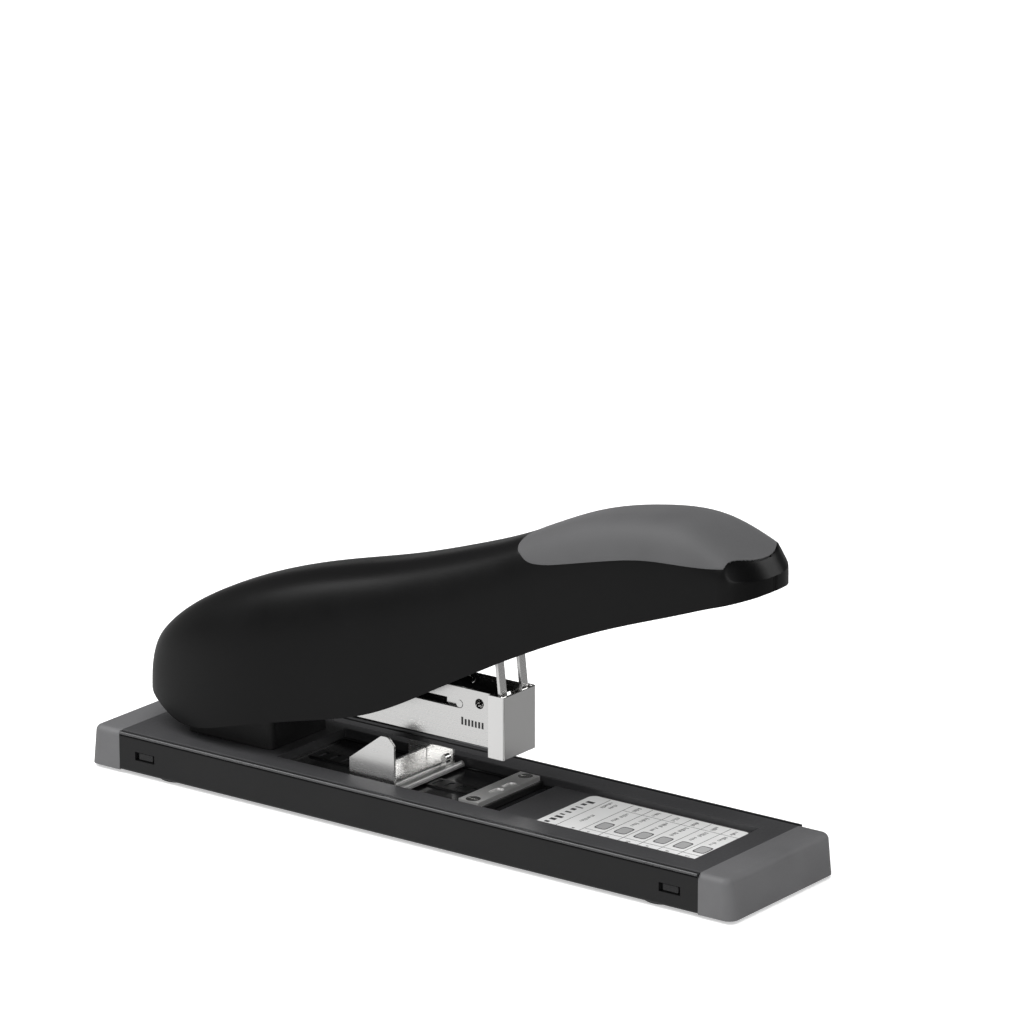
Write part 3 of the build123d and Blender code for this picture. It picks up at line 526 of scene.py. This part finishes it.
@dataclass
class Handle:
    """The moulded lever with its soft grip, as one surface s(x, turn).

    Each station gives x, half width, low edge, crest and a thousand times the power n, which is lower
    and so rounder at the rear. The section is half of a squircle: with y = half·Y and
    z = low + (top − low)·T, |Y|ⁿ + Tⁿ = 1. The turn runs from −1 on one lower edge over the crest to +1
    on the other. The nose is rounded in plan by |y| = 10 mm·((tip − x) / bulge)^(1/2.5), and its upper
    corner is cut by a facet that rises at a fixed slope from the ridge around that plan.

    Attributes:
        stations: The sections from the rear to the nose.
        tip: The x of the nose's foremost point.
        ridge: Height of the facet's lower edge.
        bulge: How far the nose falls back at bulge_at to each side.
        facet_slope: Rise of the facet for each length back from the ridge.
        wall: Thickness of the moulding.
        sink: How deep the moulding dips under the grip.
        girth: Length of the section's outline for each unit of turn, about.
        roll: Width of the grip's rolled border.
        wave: The grip's lower border on the flank, as x and z.
    """

    stations: Array = field(
        default_factory=lambda: MM
        * np.array(
            [
                (-129.0, 0.0, 39.2, 39.2, 2400.0),
                (-127.6, 7.3, 31.2, 44.1, 2400.0),
                (-124.5, 12.6, 27.3, 48.0, 2500.0),
                (-118.0, 16.9, 24.2, 54.1, 2600.0),
                (-104.0, 21.4, 20.0, 63.4, 2800.0),
                (-81.0, 24.2, 24.0, 74.0, 3000.0),
                (-50.0, 23.4, 32.0, 83.8, 3200.0),
                (-20.0, 22.3, 40.2, 91.5, 3300.0),
                (5.0, 21.3, 52.5, 99.2, 3400.0),
                (30.0, 20.5, 66.0, 108.3, 3500.0),
                (60.0, 19.6, 80.6, 121.3, 3500.0),
                (84.0, 19.2, 90.4, 126.9, 3600.0),
                (108.0, 18.6, 98.9, 127.3, 3800.0),
                (120.0, 18.2, 103.2, 123.1, 4000.0),
                (134.0, 17.6, 107.4, 115.8, 4400.0),
            ]
        )
    )
    tip: float = 133.6 * MM
    ridge: float = 112.6 * MM
    bulge: float = 1.8 * MM
    bulge_at: float = 10 * MM
    facet_slope: float = 1.5
    wall: float = 2.4 * MM
    sink: float = 1.5 * MM
    girth: float = 40 * MM
    roll: float = 1.2 * MM
    wave: Array = field(
        default_factory=lambda: MM
        * np.array(
            [
                (36.9, 112.5),
                (37.6, 109.6),
                (39.5, 107.0),
                (43.0, 105.3),
                (48.0, 104.7),
                (60.0, 106.9),
                (75.0, 110.6),
                (91.0, 113.9),
                (108.0, 115.2),
                (120.0, 116.2),
                (136.0, 119.0),
            ]
        )
    )

    def rows(self, count: int) -> Array:
        """Stations at even steps along the lever, with the rear mirrored so that it ends round.

        Args:
            count: Number of rows.

        Returns:
            x, half width, low edge, crest and power, a row each.
        """
        first = self.stations[0, 0]
        ghosts = self.stations[3:0:-1].copy()
        ghosts[:, 1] *= -1
        ghosts[:, 2:4] = ghosts[:, 3:1:-1]
        points = np.concatenate([ghosts, self.stations])
        knots = np.concatenate([[0.0], np.cumsum(np.linalg.norm(np.diff(points[:, :4], axis=0), axis=1))])
        start = knots[3]
        steps = np.linspace(0.0, 1.0, count)
        at = start + (knots[-1] - start) * (steps + 0.35 * (steps**2 - steps) * (1 - steps))
        table = through(knots, points, at)
        table[:, 0] = np.maximum(table[:, 0], first)
        table[:, 1] = np.maximum(table[:, 1], 0.0)
        return table

    def nose_plan(self, y: Array) -> Array:
        """The x of the nose's outline in plan, tip − bulge·(|y| / 10 mm)^2.5."""
        return self.tip - self.bulge * (np.abs(y) / self.bulge_at) ** 2.5

    def surface(self, table: Array, turn: Array, inset: float = 0.0) -> Array:
        """Points of the handle, moved inwards by an inset.

        Args:
            table: x, half width, low edge and crest of each row.
            turn: Place around the section, from −1 to 1, for all rows or one row a row.
            inset: Distance inwards.

        Returns:
            Rows by columns by three.
        """
        x = table[:, 0:1]
        shift = (x - x.mean()) * inset / (np.ptp(x) / 2)
        reach = np.maximum(self.tip - x, 0.0)
        plan = self.bulge_at * (reach / self.bulge) ** (1 / 2.5)
        half = np.maximum(soft_min(table[:, 1:2], plan, 2.5 * MM), 0.0)
        half = np.where(reach > 0, half, 0.0)
        half = np.maximum(half - inset, 0.0)
        low = table[:, 2:3]
        tall = np.maximum(table[:, 3:4] - inset - low, 0.0)
        angle = turn * np.pi / 2
        sine, cosine = np.sin(angle), np.abs(np.cos(angle))
        power = table[:, 4:5] / 1000 / MM
        radius = (np.abs(sine) ** power + cosine**power) ** (-1 / power)
        y = half * sine * radius
        z = low + tall * cosine * radius
        roof = self.ridge - inset + self.facet_slope * (self.nose_plan(y) - inset - x)
        z = np.maximum(soft_min(z, roof, 0.5 * MM), low)
        return np.stack([np.broadcast_to(x - shift, y.shape), y, z], axis=-1)

    def grip_edge(self, table: Array) -> Array:
        """How far around each row the grip reaches: to the wave on the flank, or to the facet at the nose.

        Args:
            table: x, half width, low edge and crest of each row.

        Returns:
            The turn of the border, between 0 and 1, a row each.
        """
        turn = np.linspace(0.0, 1.0, 600)
        points = self.surface(table, np.broadcast_to(turn, (len(table), 600)))
        wave = through(self.wave[:, 0], self.wave[:, 1:], table[:, 0])
        roof = self.ridge + self.facet_slope * (self.nose_plan(points[..., 1]) - points[..., 0])
        spare = np.minimum(points[..., 2] - wave, roof - 0.45 * MM - points[..., 2])
        first = np.argmax(spare < 0, axis=1)
        row = np.arange(len(table))
        inner, outer = spare[row, np.maximum(first - 1, 0)], spare[row, first]
        share = inner / np.maximum(inner - outer, 1e-9)
        return np.where(first > 0, turn[np.maximum(first - 1, 0)] + share * turn[1], 0.0)

    def grip_table(self, count: int) -> Array:
        """The rows that the grip covers, at even steps along its border.

        Args:
            count: Number of steps.

        Returns:
            x, half width, low edge, crest and power, a row each.
        """
        table = self.rows(9000)
        table = table[table[:, 0] > self.wave[0, 0]]
        edge = self.grip_edge(table)
        table, edge = table[edge > 0.004], edge[edge > 0.004]
        step = np.hypot(np.diff(table[:, 0]), np.diff(edge) * self.girth)
        along = np.concatenate([[0.0], np.cumsum(step)])
        wanted = np.searchsorted(along, np.linspace(0.0, along[-1], count))
        return table[np.unique(np.minimum(wanted, len(table) - 1))]

    def shell(self) -> bpy.types.Object:
        """The hollow black moulding, sunk under the grip by a step that follows the grip's border."""
        table = self.rows(400)
        table = table[table[:, 0] < self.tip - 0.3 * MM]
        last = table[-40::8]
        nose = self.tip - (self.tip - table[-1, 0]) * np.linspace(1, 0, 9)[1:] ** 2
        close = through(last[:, 0], last, nose)
        close[-1, 0] = self.tip
        table = np.concatenate([table, close])
        turn = np.broadcast_to(np.linspace(-1.0, 1.0, 121)[None, :], (len(table), 121))
        outer = self.surface(table, turn)
        deep = self.surface(table, turn, self.sink)
        edge = self.grip_edge(table)[:, None]
        margin = (edge - 0.032 - np.abs(turn)) * self.girth
        ahead = table[:, 0:1] - self.wave[0, 0] - 1.3 * MM
        under = np.clip(np.minimum(margin, ahead) / (0.5 * MM), 0.0, 1.0)[..., None]
        outer = outer * (1 - under) + deep * under
        inner = self.surface(table, turn, self.wall + self.sink)
        return closed_piece("handle_moulding", *walled(outer, inner), sharp=34)

    def grip(self) -> bpy.types.Object:
        """The grip: 0.12 mm proud, and rolled down at its border by 0.3 mm·(1 − distance / roll)²."""
        table = self.grip_table(320)
        edge = self.grip_edge(table)[:, None]
        across = np.sin(np.linspace(-0.5 * np.pi, 0.5 * np.pi, 141))[None, :]
        turn = across * edge
        top = self.surface(table, turn)
        low = self.surface(table, turn, 1.0 * MM)
        behind = (table[:, 0:1] - table[0, 0]) / self.roll
        roll = np.minimum((1 - np.abs(across)) * edge * self.girth / self.roll, behind)
        drop = 0.3 * (1 - np.clip(roll, 0.0, 1.0)) ** 2
        outer = top + (top - low) * (0.12 - drop)[..., None]
        inner = self.surface(table, turn, 1.3 * MM)
        return closed_piece("grip_cover", *walled(outer, inner), sharp=60)

    def build(self, nodes: dict[str, bpy.types.Object]) -> None:
        """Makes the moulding and the grip, and dresses the steel inside them.

        Args:
            nodes: The CAD nodes by name.
        """
        moulding = settle(self.shell(), "handle", HANDLE_BLACK)
        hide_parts("handle_shell")
        cover = settle(self.grip(), "handle", GRIP_GREY)
        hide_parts("grip_pad")
        for name, finish in (("lever_frame", DARK_STEEL), ("link_pin", BRIGHT), ("handle_screws", BRIGHT)):
            dress(nodes[name], finish)
            soften(nodes[name], 0.25 * MM)
        dress(nodes["handle_return_spring"], BRIGHT)


# ---------------------------------------------------------------------------
# Base
# ---------------------------------------------------------------------------
@dataclass
class Base:
    """The steel trough, its plastic deck and ends, feet, anvil, label and hinge.

    Attributes:
        edge: Width of the bevel on the sharp edges.
        bead: Radius of the bead along the deck.
    """

    edge: float = 0.35 * MM
    bead: float = 0.55 * MM

    def build(self, nodes: dict[str, bpy.types.Object]) -> None:
        """Dresses every CAD node of the base and breaks its edges.

        Args:
            nodes: The CAD nodes by name.
        """
        finishes = {
            "base_pan": PAN_BLACK,
            "deck_cover": DECK_GREY,
            "front_end_cap": CAP_GREY,
            "rear_end_cap": CAP_GREY,
            "foot_pads": FOOT_RUBBER,
            "anvil_block": HOUSING_BLACK,
            "anvil_plate": SATIN,
            "anvil_screws": BRIGHT,
            "instruction_label": PAPER,
            "guide_rack": DARK_STEEL,
            "hinge_bracket": DARK_STEEL,
            "bracket_rivets": DARK_STEEL,
            "hinge_housing": HOUSING_BLACK,
            "pivot_pin": BRIGHT,
            "pin_clip": DARK_STEEL,
            "magazine_return_spring": BRIGHT,
        }
        for name, finish in finishes.items():
            dress(nodes[name], finish)
        for name in ("deck_cover", "hinge_housing", "hinge_bracket", "anvil_block", "anvil_plate"):
            soften(nodes[name], self.edge)
        self.rim()
        LabelPrint().build()

    def rim(self) -> None:
        """A rolled bead along each side of the deck, over a near-black strip of painted shade in place of a
        groove.

        The bead is z = middle + r·cos t and y = side ± r·sin t, with t from 0 to half a turn.
        """
        low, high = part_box("base_pan")
        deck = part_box("deck_cover")[1].z
        turn = np.linspace(0.0, np.pi, 13)
        ends = np.array([low.x + 0.3 * MM, high.x - 0.3 * MM])
        for name, side, out in (("rim_bead_near", low.y, -1.0), ("rim_bead_far", high.y, 1.0)):
            x = np.broadcast_to(np.linspace(ends[0], ends[1], 60)[:, None], (60, 13))
            sections = []
            for radius in (self.bead, self.bead * 0.2):
                y = np.broadcast_to(side + out * (radius * np.sin(turn) - 0.05 * MM), x.shape)
                z = np.broadcast_to(deck - 1.1 * self.bead + radius * np.cos(turn), x.shape)
                sections.append(np.stack([x, y, z], axis=-1))
            settle(closed_piece(name, *walled(*sections)), "base", RIM)
        # A near-black strip under each bead: painted shade where a groove would be.
        lows = np.array([(ends[0], y - 0.03 * MM, deck - 3.1 * self.bead) for y in (low.y, high.y)])
        highs = np.array([(ends[1], y + 0.03 * MM, deck - 2.2 * self.bead) for y in (low.y, high.y)])
        settle(closed_piece("rim_groove_shade_strips", *slabs(lows, highs)), "base", RIM_GROOVE_SHADE)


@dataclass
class LabelPrint:
    """The print on the label: a table of thin rules, grey tiles and dashes in place of words.

    Attributes:
        title: How far the title strip reaches along the label.
        head: How far the table's head reaches after it.
        rules: Lines across the width, as shares of it from the near side.
        rows: Number of rows in the table.
        rule: Width of a line.
        proud: Height of the ink.
        seed: Start of the random dashes.
        top: Height of the label's face, read from the frame.
        dice: The draws behind the dashes.
    """

    title: float = 8.0 * MM
    head: float = 9.6 * MM
    rows: int = 6
    rules: tuple[float, ...] = (0.17, 0.80)
    rule: float = 0.22 * MM
    proud: float = 0.02 * MM
    seed: int = 7
    top: float = field(init=False)
    dice: np.random.Generator = field(init=False)

    def flat(self, x: Array, y: Array) -> tuple[Array, Array]:
        """Closed slabs of ink on the label's face.

        Args:
            x: Limits in x, a slab a row.
            y: Limits in y, in the same order.

        Returns:
            The points and the quads of all slabs.
        """
        low = np.stack([x[:, 0], y[:, 0], np.full(len(x), self.top - self.proud)], axis=-1)
        high = np.stack([x[:, 1], y[:, 1], np.full(len(x), self.top + self.proud)], axis=-1)
        return slabs(low, high)

    def dashes(self, x: float, height: float, start: float, end: float, thick: float) -> tuple[Array, Array]:
        """A word's worth of upright strokes, whose widths and gaps are drawn at random.

        Args:
            x: Where the line of strokes starts along the label.
            height: Height of the strokes.
            start: First y.
            end: Last y.
            thick: Middle width of a stroke.

        Returns:
            Limits in x and in y of every stroke.
        """
        count = max(2, int((end - start) / (thick * 1.9)))
        left = start + (end - start) * np.arange(count) / count
        wide = thick * self.dice.uniform(0.55, 1.25, count)
        tall = height * self.dice.choice([0.62, 0.8, 1.0], count)
        return np.stack([np.full(count, x), x + tall], axis=-1), np.stack([left, left + wide], axis=-1)

    def build(self) -> None:
        """Lays out the rules, the tiles and the dashes from the label's own box."""
        low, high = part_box("instruction_label")
        self.top = high.z
        self.dice = np.random.default_rng(self.seed)
        rest = low.x + self.title + self.head
        pitch = (high.x - rest) / self.rows
        edges = np.concatenate([[low.x + self.title], rest + pitch * np.arange(self.rows)])
        width = high.y - low.y
        margin = 0.6 * MM
        across_x = np.stack([edges, edges + self.rule], axis=-1)
        across_y = np.tile([low.y + margin, high.y - margin], (len(edges), 1))
        along_y = low.y + width * np.array(self.rules)
        along_x = np.tile([rest, high.x - margin], (len(along_y), 1))
        along_y = np.stack([along_y, along_y + self.rule], axis=-1)
        xs, ys = [across_x, along_x], [across_y, along_y]
        head = low.x + self.title
        lines = (
            (low.x + 2.4 * MM, 3.1 * MM, low.y + 3.5 * MM, high.y - 4.5 * MM, 1.5 * MM),
            (head + 1.6 * MM, 1.5 * MM, high.y - 9 * MM, high.y - 2 * MM, 0.45 * MM),
            (head + 4.3 * MM, 1.5 * MM, high.y - 8 * MM, high.y - 3 * MM, 0.45 * MM),
            (head + 4.0 * MM, 1.5 * MM, low.y + 11 * MM, low.y + 19 * MM, 0.45 * MM),
            (rest - 3.6 * MM, 1.4 * MM, low.y + 1.4 * MM, low.y + 5 * MM, 0.5 * MM),
        )
        words = [self.dashes(*line) for line in lines]
        for line in rest + pitch * (np.arange(self.rows) + 0.36):
            for start, end in ((0.05, 0.13), (0.49, 0.60), (0.63, 0.77), (0.84, 0.96)):
                reach = (low.y + width * start, low.y + width * end)
                words.append(self.dashes(line, 1.7 * MM, *reach, 0.42 * MM))
        xs += [word[0] for word in words]
        ys += [word[1] for word in words]
        print_piece = closed_piece("label_print", *self.flat(np.concatenate(xs), np.concatenate(ys)))
        settle(print_piece, "base", INK)
        self.tiles(rest, pitch, low.y, width)

    def tiles(self, rest: float, pitch: float, near: float, width: float) -> None:
        """A grey rounded tile in every row, whose outline is |u|^6 + |v|^6 = 1, in a darker frame.

        Args:
            rest: Where the rows start along the label.
            pitch: Length of a row.
            near: The label's nearer side.
            width: Width of the label.
        """
        middle = rest + pitch * (np.arange(self.rows) + 0.55)
        turn = np.linspace(0, 2 * np.pi, 33)[:-1]
        radius = (np.abs(np.cos(turn)) ** 6 + np.abs(np.sin(turn)) ** 6) ** (-1 / 6)
        kinds = (("label_tile_frames", 1.0, 0.5, INK), ("label_tiles", 0.84, 1.3, INK_GREY))
        for name, grow, lift, finish in kinds:
            u = middle[:, None] + grow * 2.5 * MM * radius * np.cos(turn)
            v = near + 0.335 * width + grow * 3.4 * MM * radius * np.sin(turn)
            v = np.broadcast_to(v, u.shape)
            ring = np.stack([u, v, np.full_like(u, self.top - self.proud)], axis=-1)
            raised = ring + np.array([0, 0, self.proud * (1 + lift)])
            hub_low = np.broadcast_to(ring.mean(axis=1, keepdims=True), ring.shape)
            hub_high = np.broadcast_to(raised.mean(axis=1, keepdims=True), ring.shape)
            stack = np.stack([hub_low, ring, raised, hub_high], axis=1)
            quads = grid_quads(4, 32, wrap=True)[None] + 128 * np.arange(self.rows)[:, None, None]
            piece = closed_piece(name, stack.reshape(-1, 3), quads.reshape(-1, 4))
            settle(piece, "base", finish)


@dataclass
class Mechanism:
    """Magazine, pusher, driver, link and paper guide.

    Attributes:
        wire: Height of a staple's wire.
        gauge: Width of a staple's wire along the row.
        pitch: Step from one staple to the next.
        mark_seed: Start of the random heights of the stamped strokes.
        stroke: Width of a stamped stroke.
        lip: Radius of the channel's rolled lower edge.
        lip_start: The x where that edge begins.
    """

    wire: float = 0.7 * MM
    gauge: float = 0.66 * MM
    pitch: float = 0.73 * MM
    mark_seed: int = 3
    stroke: float = 0.8 * MM
    lip: float = 1.0 * MM
    lip_start: float = -46.5 * MM

    def staples(self) -> None:
        """The row of staples, each a flat wire bent to a square arch around the rail."""
        low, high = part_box("staple_row")
        count = int((high.x - low.x) / self.pitch)
        start = low.x + self.pitch * np.arange(count)
        ones = np.ones(count)
        lows, highs = [], []
        crown = (low.y, high.y, high.z - self.wire)
        legs = ((low.y, low.y + self.wire, low.z), (high.y - self.wire, high.y, low.z))
        for y0, y1, z0 in (crown, *legs):
            z1 = high.z if z0 > low.z else high.z - self.wire
            lows.append(np.stack([start, ones * y0, ones * z0], axis=-1))
            highs.append(np.stack([start + self.gauge, ones * y1, ones * z1], axis=-1))
        piece = closed_piece("staple_strip", *slabs(np.concatenate(lows), np.concatenate(highs)))
        soften(piece, 0.12 * MM, 2)
        settle(piece, "magazine", WIRE)
        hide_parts("staple_row")

    def size_marks_and_seam_shade(self) -> None:
        """Seven dark stamped strokes, and a dark strip of painted shadow at the cover's seam, on both sides
        of the magazine near its nose.
        """
        cover_low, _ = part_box("magazine_front_cover")
        low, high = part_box("magazine_channel")
        dice = np.random.default_rng(self.mark_seed)
        x = cover_low.x - 12.2 * MM + 1.45 * MM * np.arange(7)
        tall = np.where(np.arange(7) == 0, 2.9, 2.3) * MM + dice.uniform(-0.1, 0.1, 7) * MM
        base = low.z + 0.0113 - 3.2 * MM
        lows, highs = [], []
        for side in (low.y, high.y):
            y0, y1 = side - 0.03 * MM, side + 0.03 * MM
            lows.append(np.stack([x, np.full(7, y0), np.full(7, base)], axis=-1))
            highs.append(np.stack([x + self.stroke, np.full(7, y1), base + tall], axis=-1))
            # A thin dark strip of painted shadow along the front cover's rear seam.
            lows.append(np.array([[cover_low.x - 0.55 * MM, y0, low.z + 0.6 * MM]]))
            highs.append(np.array([[cover_low.x - 0.05 * MM, y1, high.z - 0.6 * MM]]))
        piece = closed_piece("size_marks_and_seam_shade", *slabs(np.concatenate(lows), np.concatenate(highs)))
        settle(piece, "magazine", MARK_AND_SEAM_SHADE)

    def build(self, nodes: dict[str, bpy.types.Object]) -> None:
        """Dresses every CAD node of the moving metalwork and breaks its edges.

        Args:
            nodes: The CAD nodes by name.
        """
        finishes = {
            "guide_plate": NICKEL,
            "guide_fence": NICKEL,
            "guide_shoe": SATIN,
            "guide_clip": BRIGHT,
            "magazine_channel": NICKEL,
            "magazine_front_cover": COVER_NICKEL,
            "staple_rail": DARK_STEEL,
            "rail_pin": BRIGHT,
            "magazine_top_plate": HOUSING_BLACK,
            "spring_seat": HOUSING_BLACK,
            "pusher_rod": BRIGHT,
            "staple_row": WIRE,
            "pusher_spring": BRIGHT,
            "staple_pusher": BRIGHT,
            "driver_blade": BRIGHT,
            "driver_link": NICKEL,
        }
        for name, finish in finishes.items():
            dress(nodes[name], finish)
        for name in ("guide_plate", "guide_fence", "magazine_front_cover", "driver_link"):
            soften(nodes[name], 0.2 * MM)
        self.staples()
        self.size_marks_and_seam_shade()
        self.lips()

    def lips(self) -> None:
        """The rolled lower edge of the channel on both sides, a half round of z = low + r + r·cos t."""
        low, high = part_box("magazine_channel")
        cover_low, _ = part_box("magazine_front_cover")
        turn = np.linspace(0.0, np.pi, 15)
        x = np.broadcast_to(np.linspace(self.lip_start, cover_low.x - 0.3 * MM, 40)[:, None], (40, 15))
        for name, side, out in (("magazine_lip_near", low.y, -1.0), ("magazine_lip_far", high.y, 1.0)):
            sections = []
            for radius in (self.lip, self.lip * 0.2):
                y = np.broadcast_to(side + out * (0.55 * radius * np.sin(turn) - 0.05 * MM), x.shape)
                z = np.broadcast_to(low.z + self.lip + radius * np.cos(turn), x.shape)
                sections.append(np.stack([x, y, z], axis=-1))
            settle(closed_piece(name, *walled(*sections)), "magazine", DARK_STEEL)


# ---------------------------------------------------------------------------
# Studio
# ---------------------------------------------------------------------------
@dataclass
class Studio:
    """The pale floor, the soft lights, the surroundings and the camera.

    Attributes:
        azimuth: Turn of the camera from the −Y side towards +X.
        elevation: Rise of the camera above the level.
        distance: From the camera to the point that it looks at.
        aim: That point.
        lens: Focal length in millimetres.
    """

    azimuth: float = math.radians(36.63)
    elevation: float = math.radians(16.5)
    distance: float = 2.15
    aim: tuple[float, float, float] = (0.02253, 0.00384, 0.11404)
    lens: float = 222.2

    def light(self, name: str, place: tuple, size: tuple, power: float, aim: tuple = (0, 0, 0.05)) -> None:
        """Adds one softbox that faces a point.

        Args:
            name: Name of the light.
            place: Where it hangs.
            size: Width and height.
            power: Watts.
            aim: The point that it faces.
        """
        lamp = bpy.data.lights.new(name, "AREA")
        lamp.shape = "RECTANGLE"
        lamp.size, lamp.size_y = size
        lamp.energy = power
        holder = bpy.data.objects.new(name, lamp)
        holder.location = place
        holder.rotation_euler = (Vector(aim) - Vector(place)).to_track_quat("-Z", "Y").to_euler()
        bpy.context.scene.collection.objects.link(holder)

    def overhead(self) -> None:
        """Soft even light from straight above, which shines on the surfaces but shows in no reflection."""
        lamp = bpy.data.lights.new("overhead", "SUN")
        lamp.energy = 2.5
        lamp.angle = math.radians(60)
        holder = bpy.data.objects.new("overhead", lamp)
        holder.visible_glossy = False
        bpy.context.scene.collection.objects.link(holder)

    def floor(self) -> None:
        """A wide white floor that lights itself a little, so that shadows on it stay pale."""
        mesh = bpy.data.meshes.new("floor")
        side = np.linspace(-7.0, 7.0, 15)
        x, y = np.meshgrid(side, side, indexing="ij")
        points = np.stack([x, y, np.full_like(x, -0.0002)], axis=-1).reshape(-1, 3)
        mesh.from_pydata(points.tolist(), [], grid_quads(15, 15).tolist())
        floor = bpy.data.objects.new("floor", mesh)
        bpy.context.scene.collection.objects.link(floor)
        material = bpy.data.materials.new("FloorWhite")
        material.use_nodes = True
        shader = Board(material).shader
        shader.inputs["Base Color"].default_value = (0.8, 0.8, 0.8, 1.0)
        shader.inputs["Roughness"].default_value = 0.9
        shader.inputs["Specular IOR Level"].default_value = 0.1
        shader.inputs["Emission Color"].default_value = (1.0, 1.0, 1.0, 1.0)
        shader.inputs["Emission Strength"].default_value = 0.46
        mesh.materials.append(material)
        floor.visible_glossy = False

    def surroundings(self) -> None:
        """A tent that is bright to the front left and dim behind, brighter below than above."""
        world = bpy.data.worlds.new("Tent")
        world.use_nodes = True
        bpy.context.scene.world = world
        tree = world.node_tree
        way = tree.nodes.new("ShaderNodeTexCoord").outputs["Generated"]
        split = tree.nodes.new("ShaderNodeSeparateXYZ")
        tree.links.new(way, split.inputs["Vector"])
        front = tree.nodes.new("ShaderNodeVectorMath")
        front.operation = "DOT_PRODUCT"
        front.inputs[1].default_value = (-0.61, -0.79, 0.0)
        tree.links.new(way, front.inputs[0])

        def spread(value, numbers: tuple) -> bpy.types.NodeSocket:
            """A value carried from one range to another."""
            node = tree.nodes.new("ShaderNodeMapRange")
            node.interpolation_type = "SMOOTHSTEP"
            for socket, number in zip(list(node.inputs)[1:5], numbers):
                socket.default_value = number
            tree.links.new(value, node.inputs["Value"])
            return node.outputs["Result"]

        below = spread(front.outputs["Value"], (-0.9, 0.9, 0.26, 0.72))
        above = spread(front.outputs["Value"], (-0.6, 0.9, 0.015, 0.22))
        mix = tree.nodes.new("ShaderNodeMix")
        tree.links.new(spread(split.outputs["Z"], (-0.08, 0.12, 0.0, 1.0)), mix.inputs[0])
        tree.links.new(below, mix.inputs[2])
        tree.links.new(above, mix.inputs[3])
        tree.links.new(mix.outputs[0], tree.nodes["Background"].inputs["Strength"])
        tree.nodes["Background"].inputs["Color"].default_value = (1.0, 1.0, 1.0, 1.0)

    def camera(self) -> None:
        """The camera, level from side to side, aimed from a distance at a point in the object."""
        data = bpy.data.cameras.new("view")
        data.lens = self.lens
        data.sensor_width = 36.0
        data.clip_start, data.clip_end = 0.05, 60.0
        back = Vector(
            (
                math.sin(self.azimuth) * math.cos(self.elevation),
                -math.cos(self.azimuth) * math.cos(self.elevation),
                math.sin(self.elevation),
            )
        )
        right = Vector((0, 0, 1)).cross(back).normalized()
        up = back.cross(right)
        turn = Matrix((right, up, back)).transposed().to_4x4()
        holder = bpy.data.objects.new("view", data)
        holder.matrix_world = Matrix.Translation(Vector(self.aim) + back * self.distance) @ turn
        bpy.context.scene.collection.objects.link(holder)
        bpy.context.scene.camera = holder

    def build(self) -> None:
        """Sets up everything that isn't part of the object."""
        scene = bpy.context.scene
        scene.view_settings.view_transform = "Standard"
        scene.view_settings.look = "None"
        self.floor()
        self.surroundings()
        self.light("key", (-0.75, -0.85, 1.25), (0.9, 0.9), 14.0)
        self.light("top_strip", (-0.9, -0.35, 1.3), (0.35, 1.2), 5.0)
        self.light("fill", (1.3, -1.2, 0.7), (1.2, 0.8), 9.0)
        self.light("nose_card", (0.8, 1.15, 0.78), (0.5, 0.5), 3.0, aim=(0.12, 0.0, 0.11))
        self.overhead()
        self.camera()


def main() -> None:
    """Builds the stapler part by part over the frame, then the studio around it."""
    logging.basicConfig(level=logging.INFO, format="%(name)s: %(message)s")
    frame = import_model()
    nodes = frame["nodes"]
    Handle().build(nodes)
    Base().build(nodes)
    Mechanism().build(nodes)
    Studio().build()


if __name__ == "__main__":
    main()
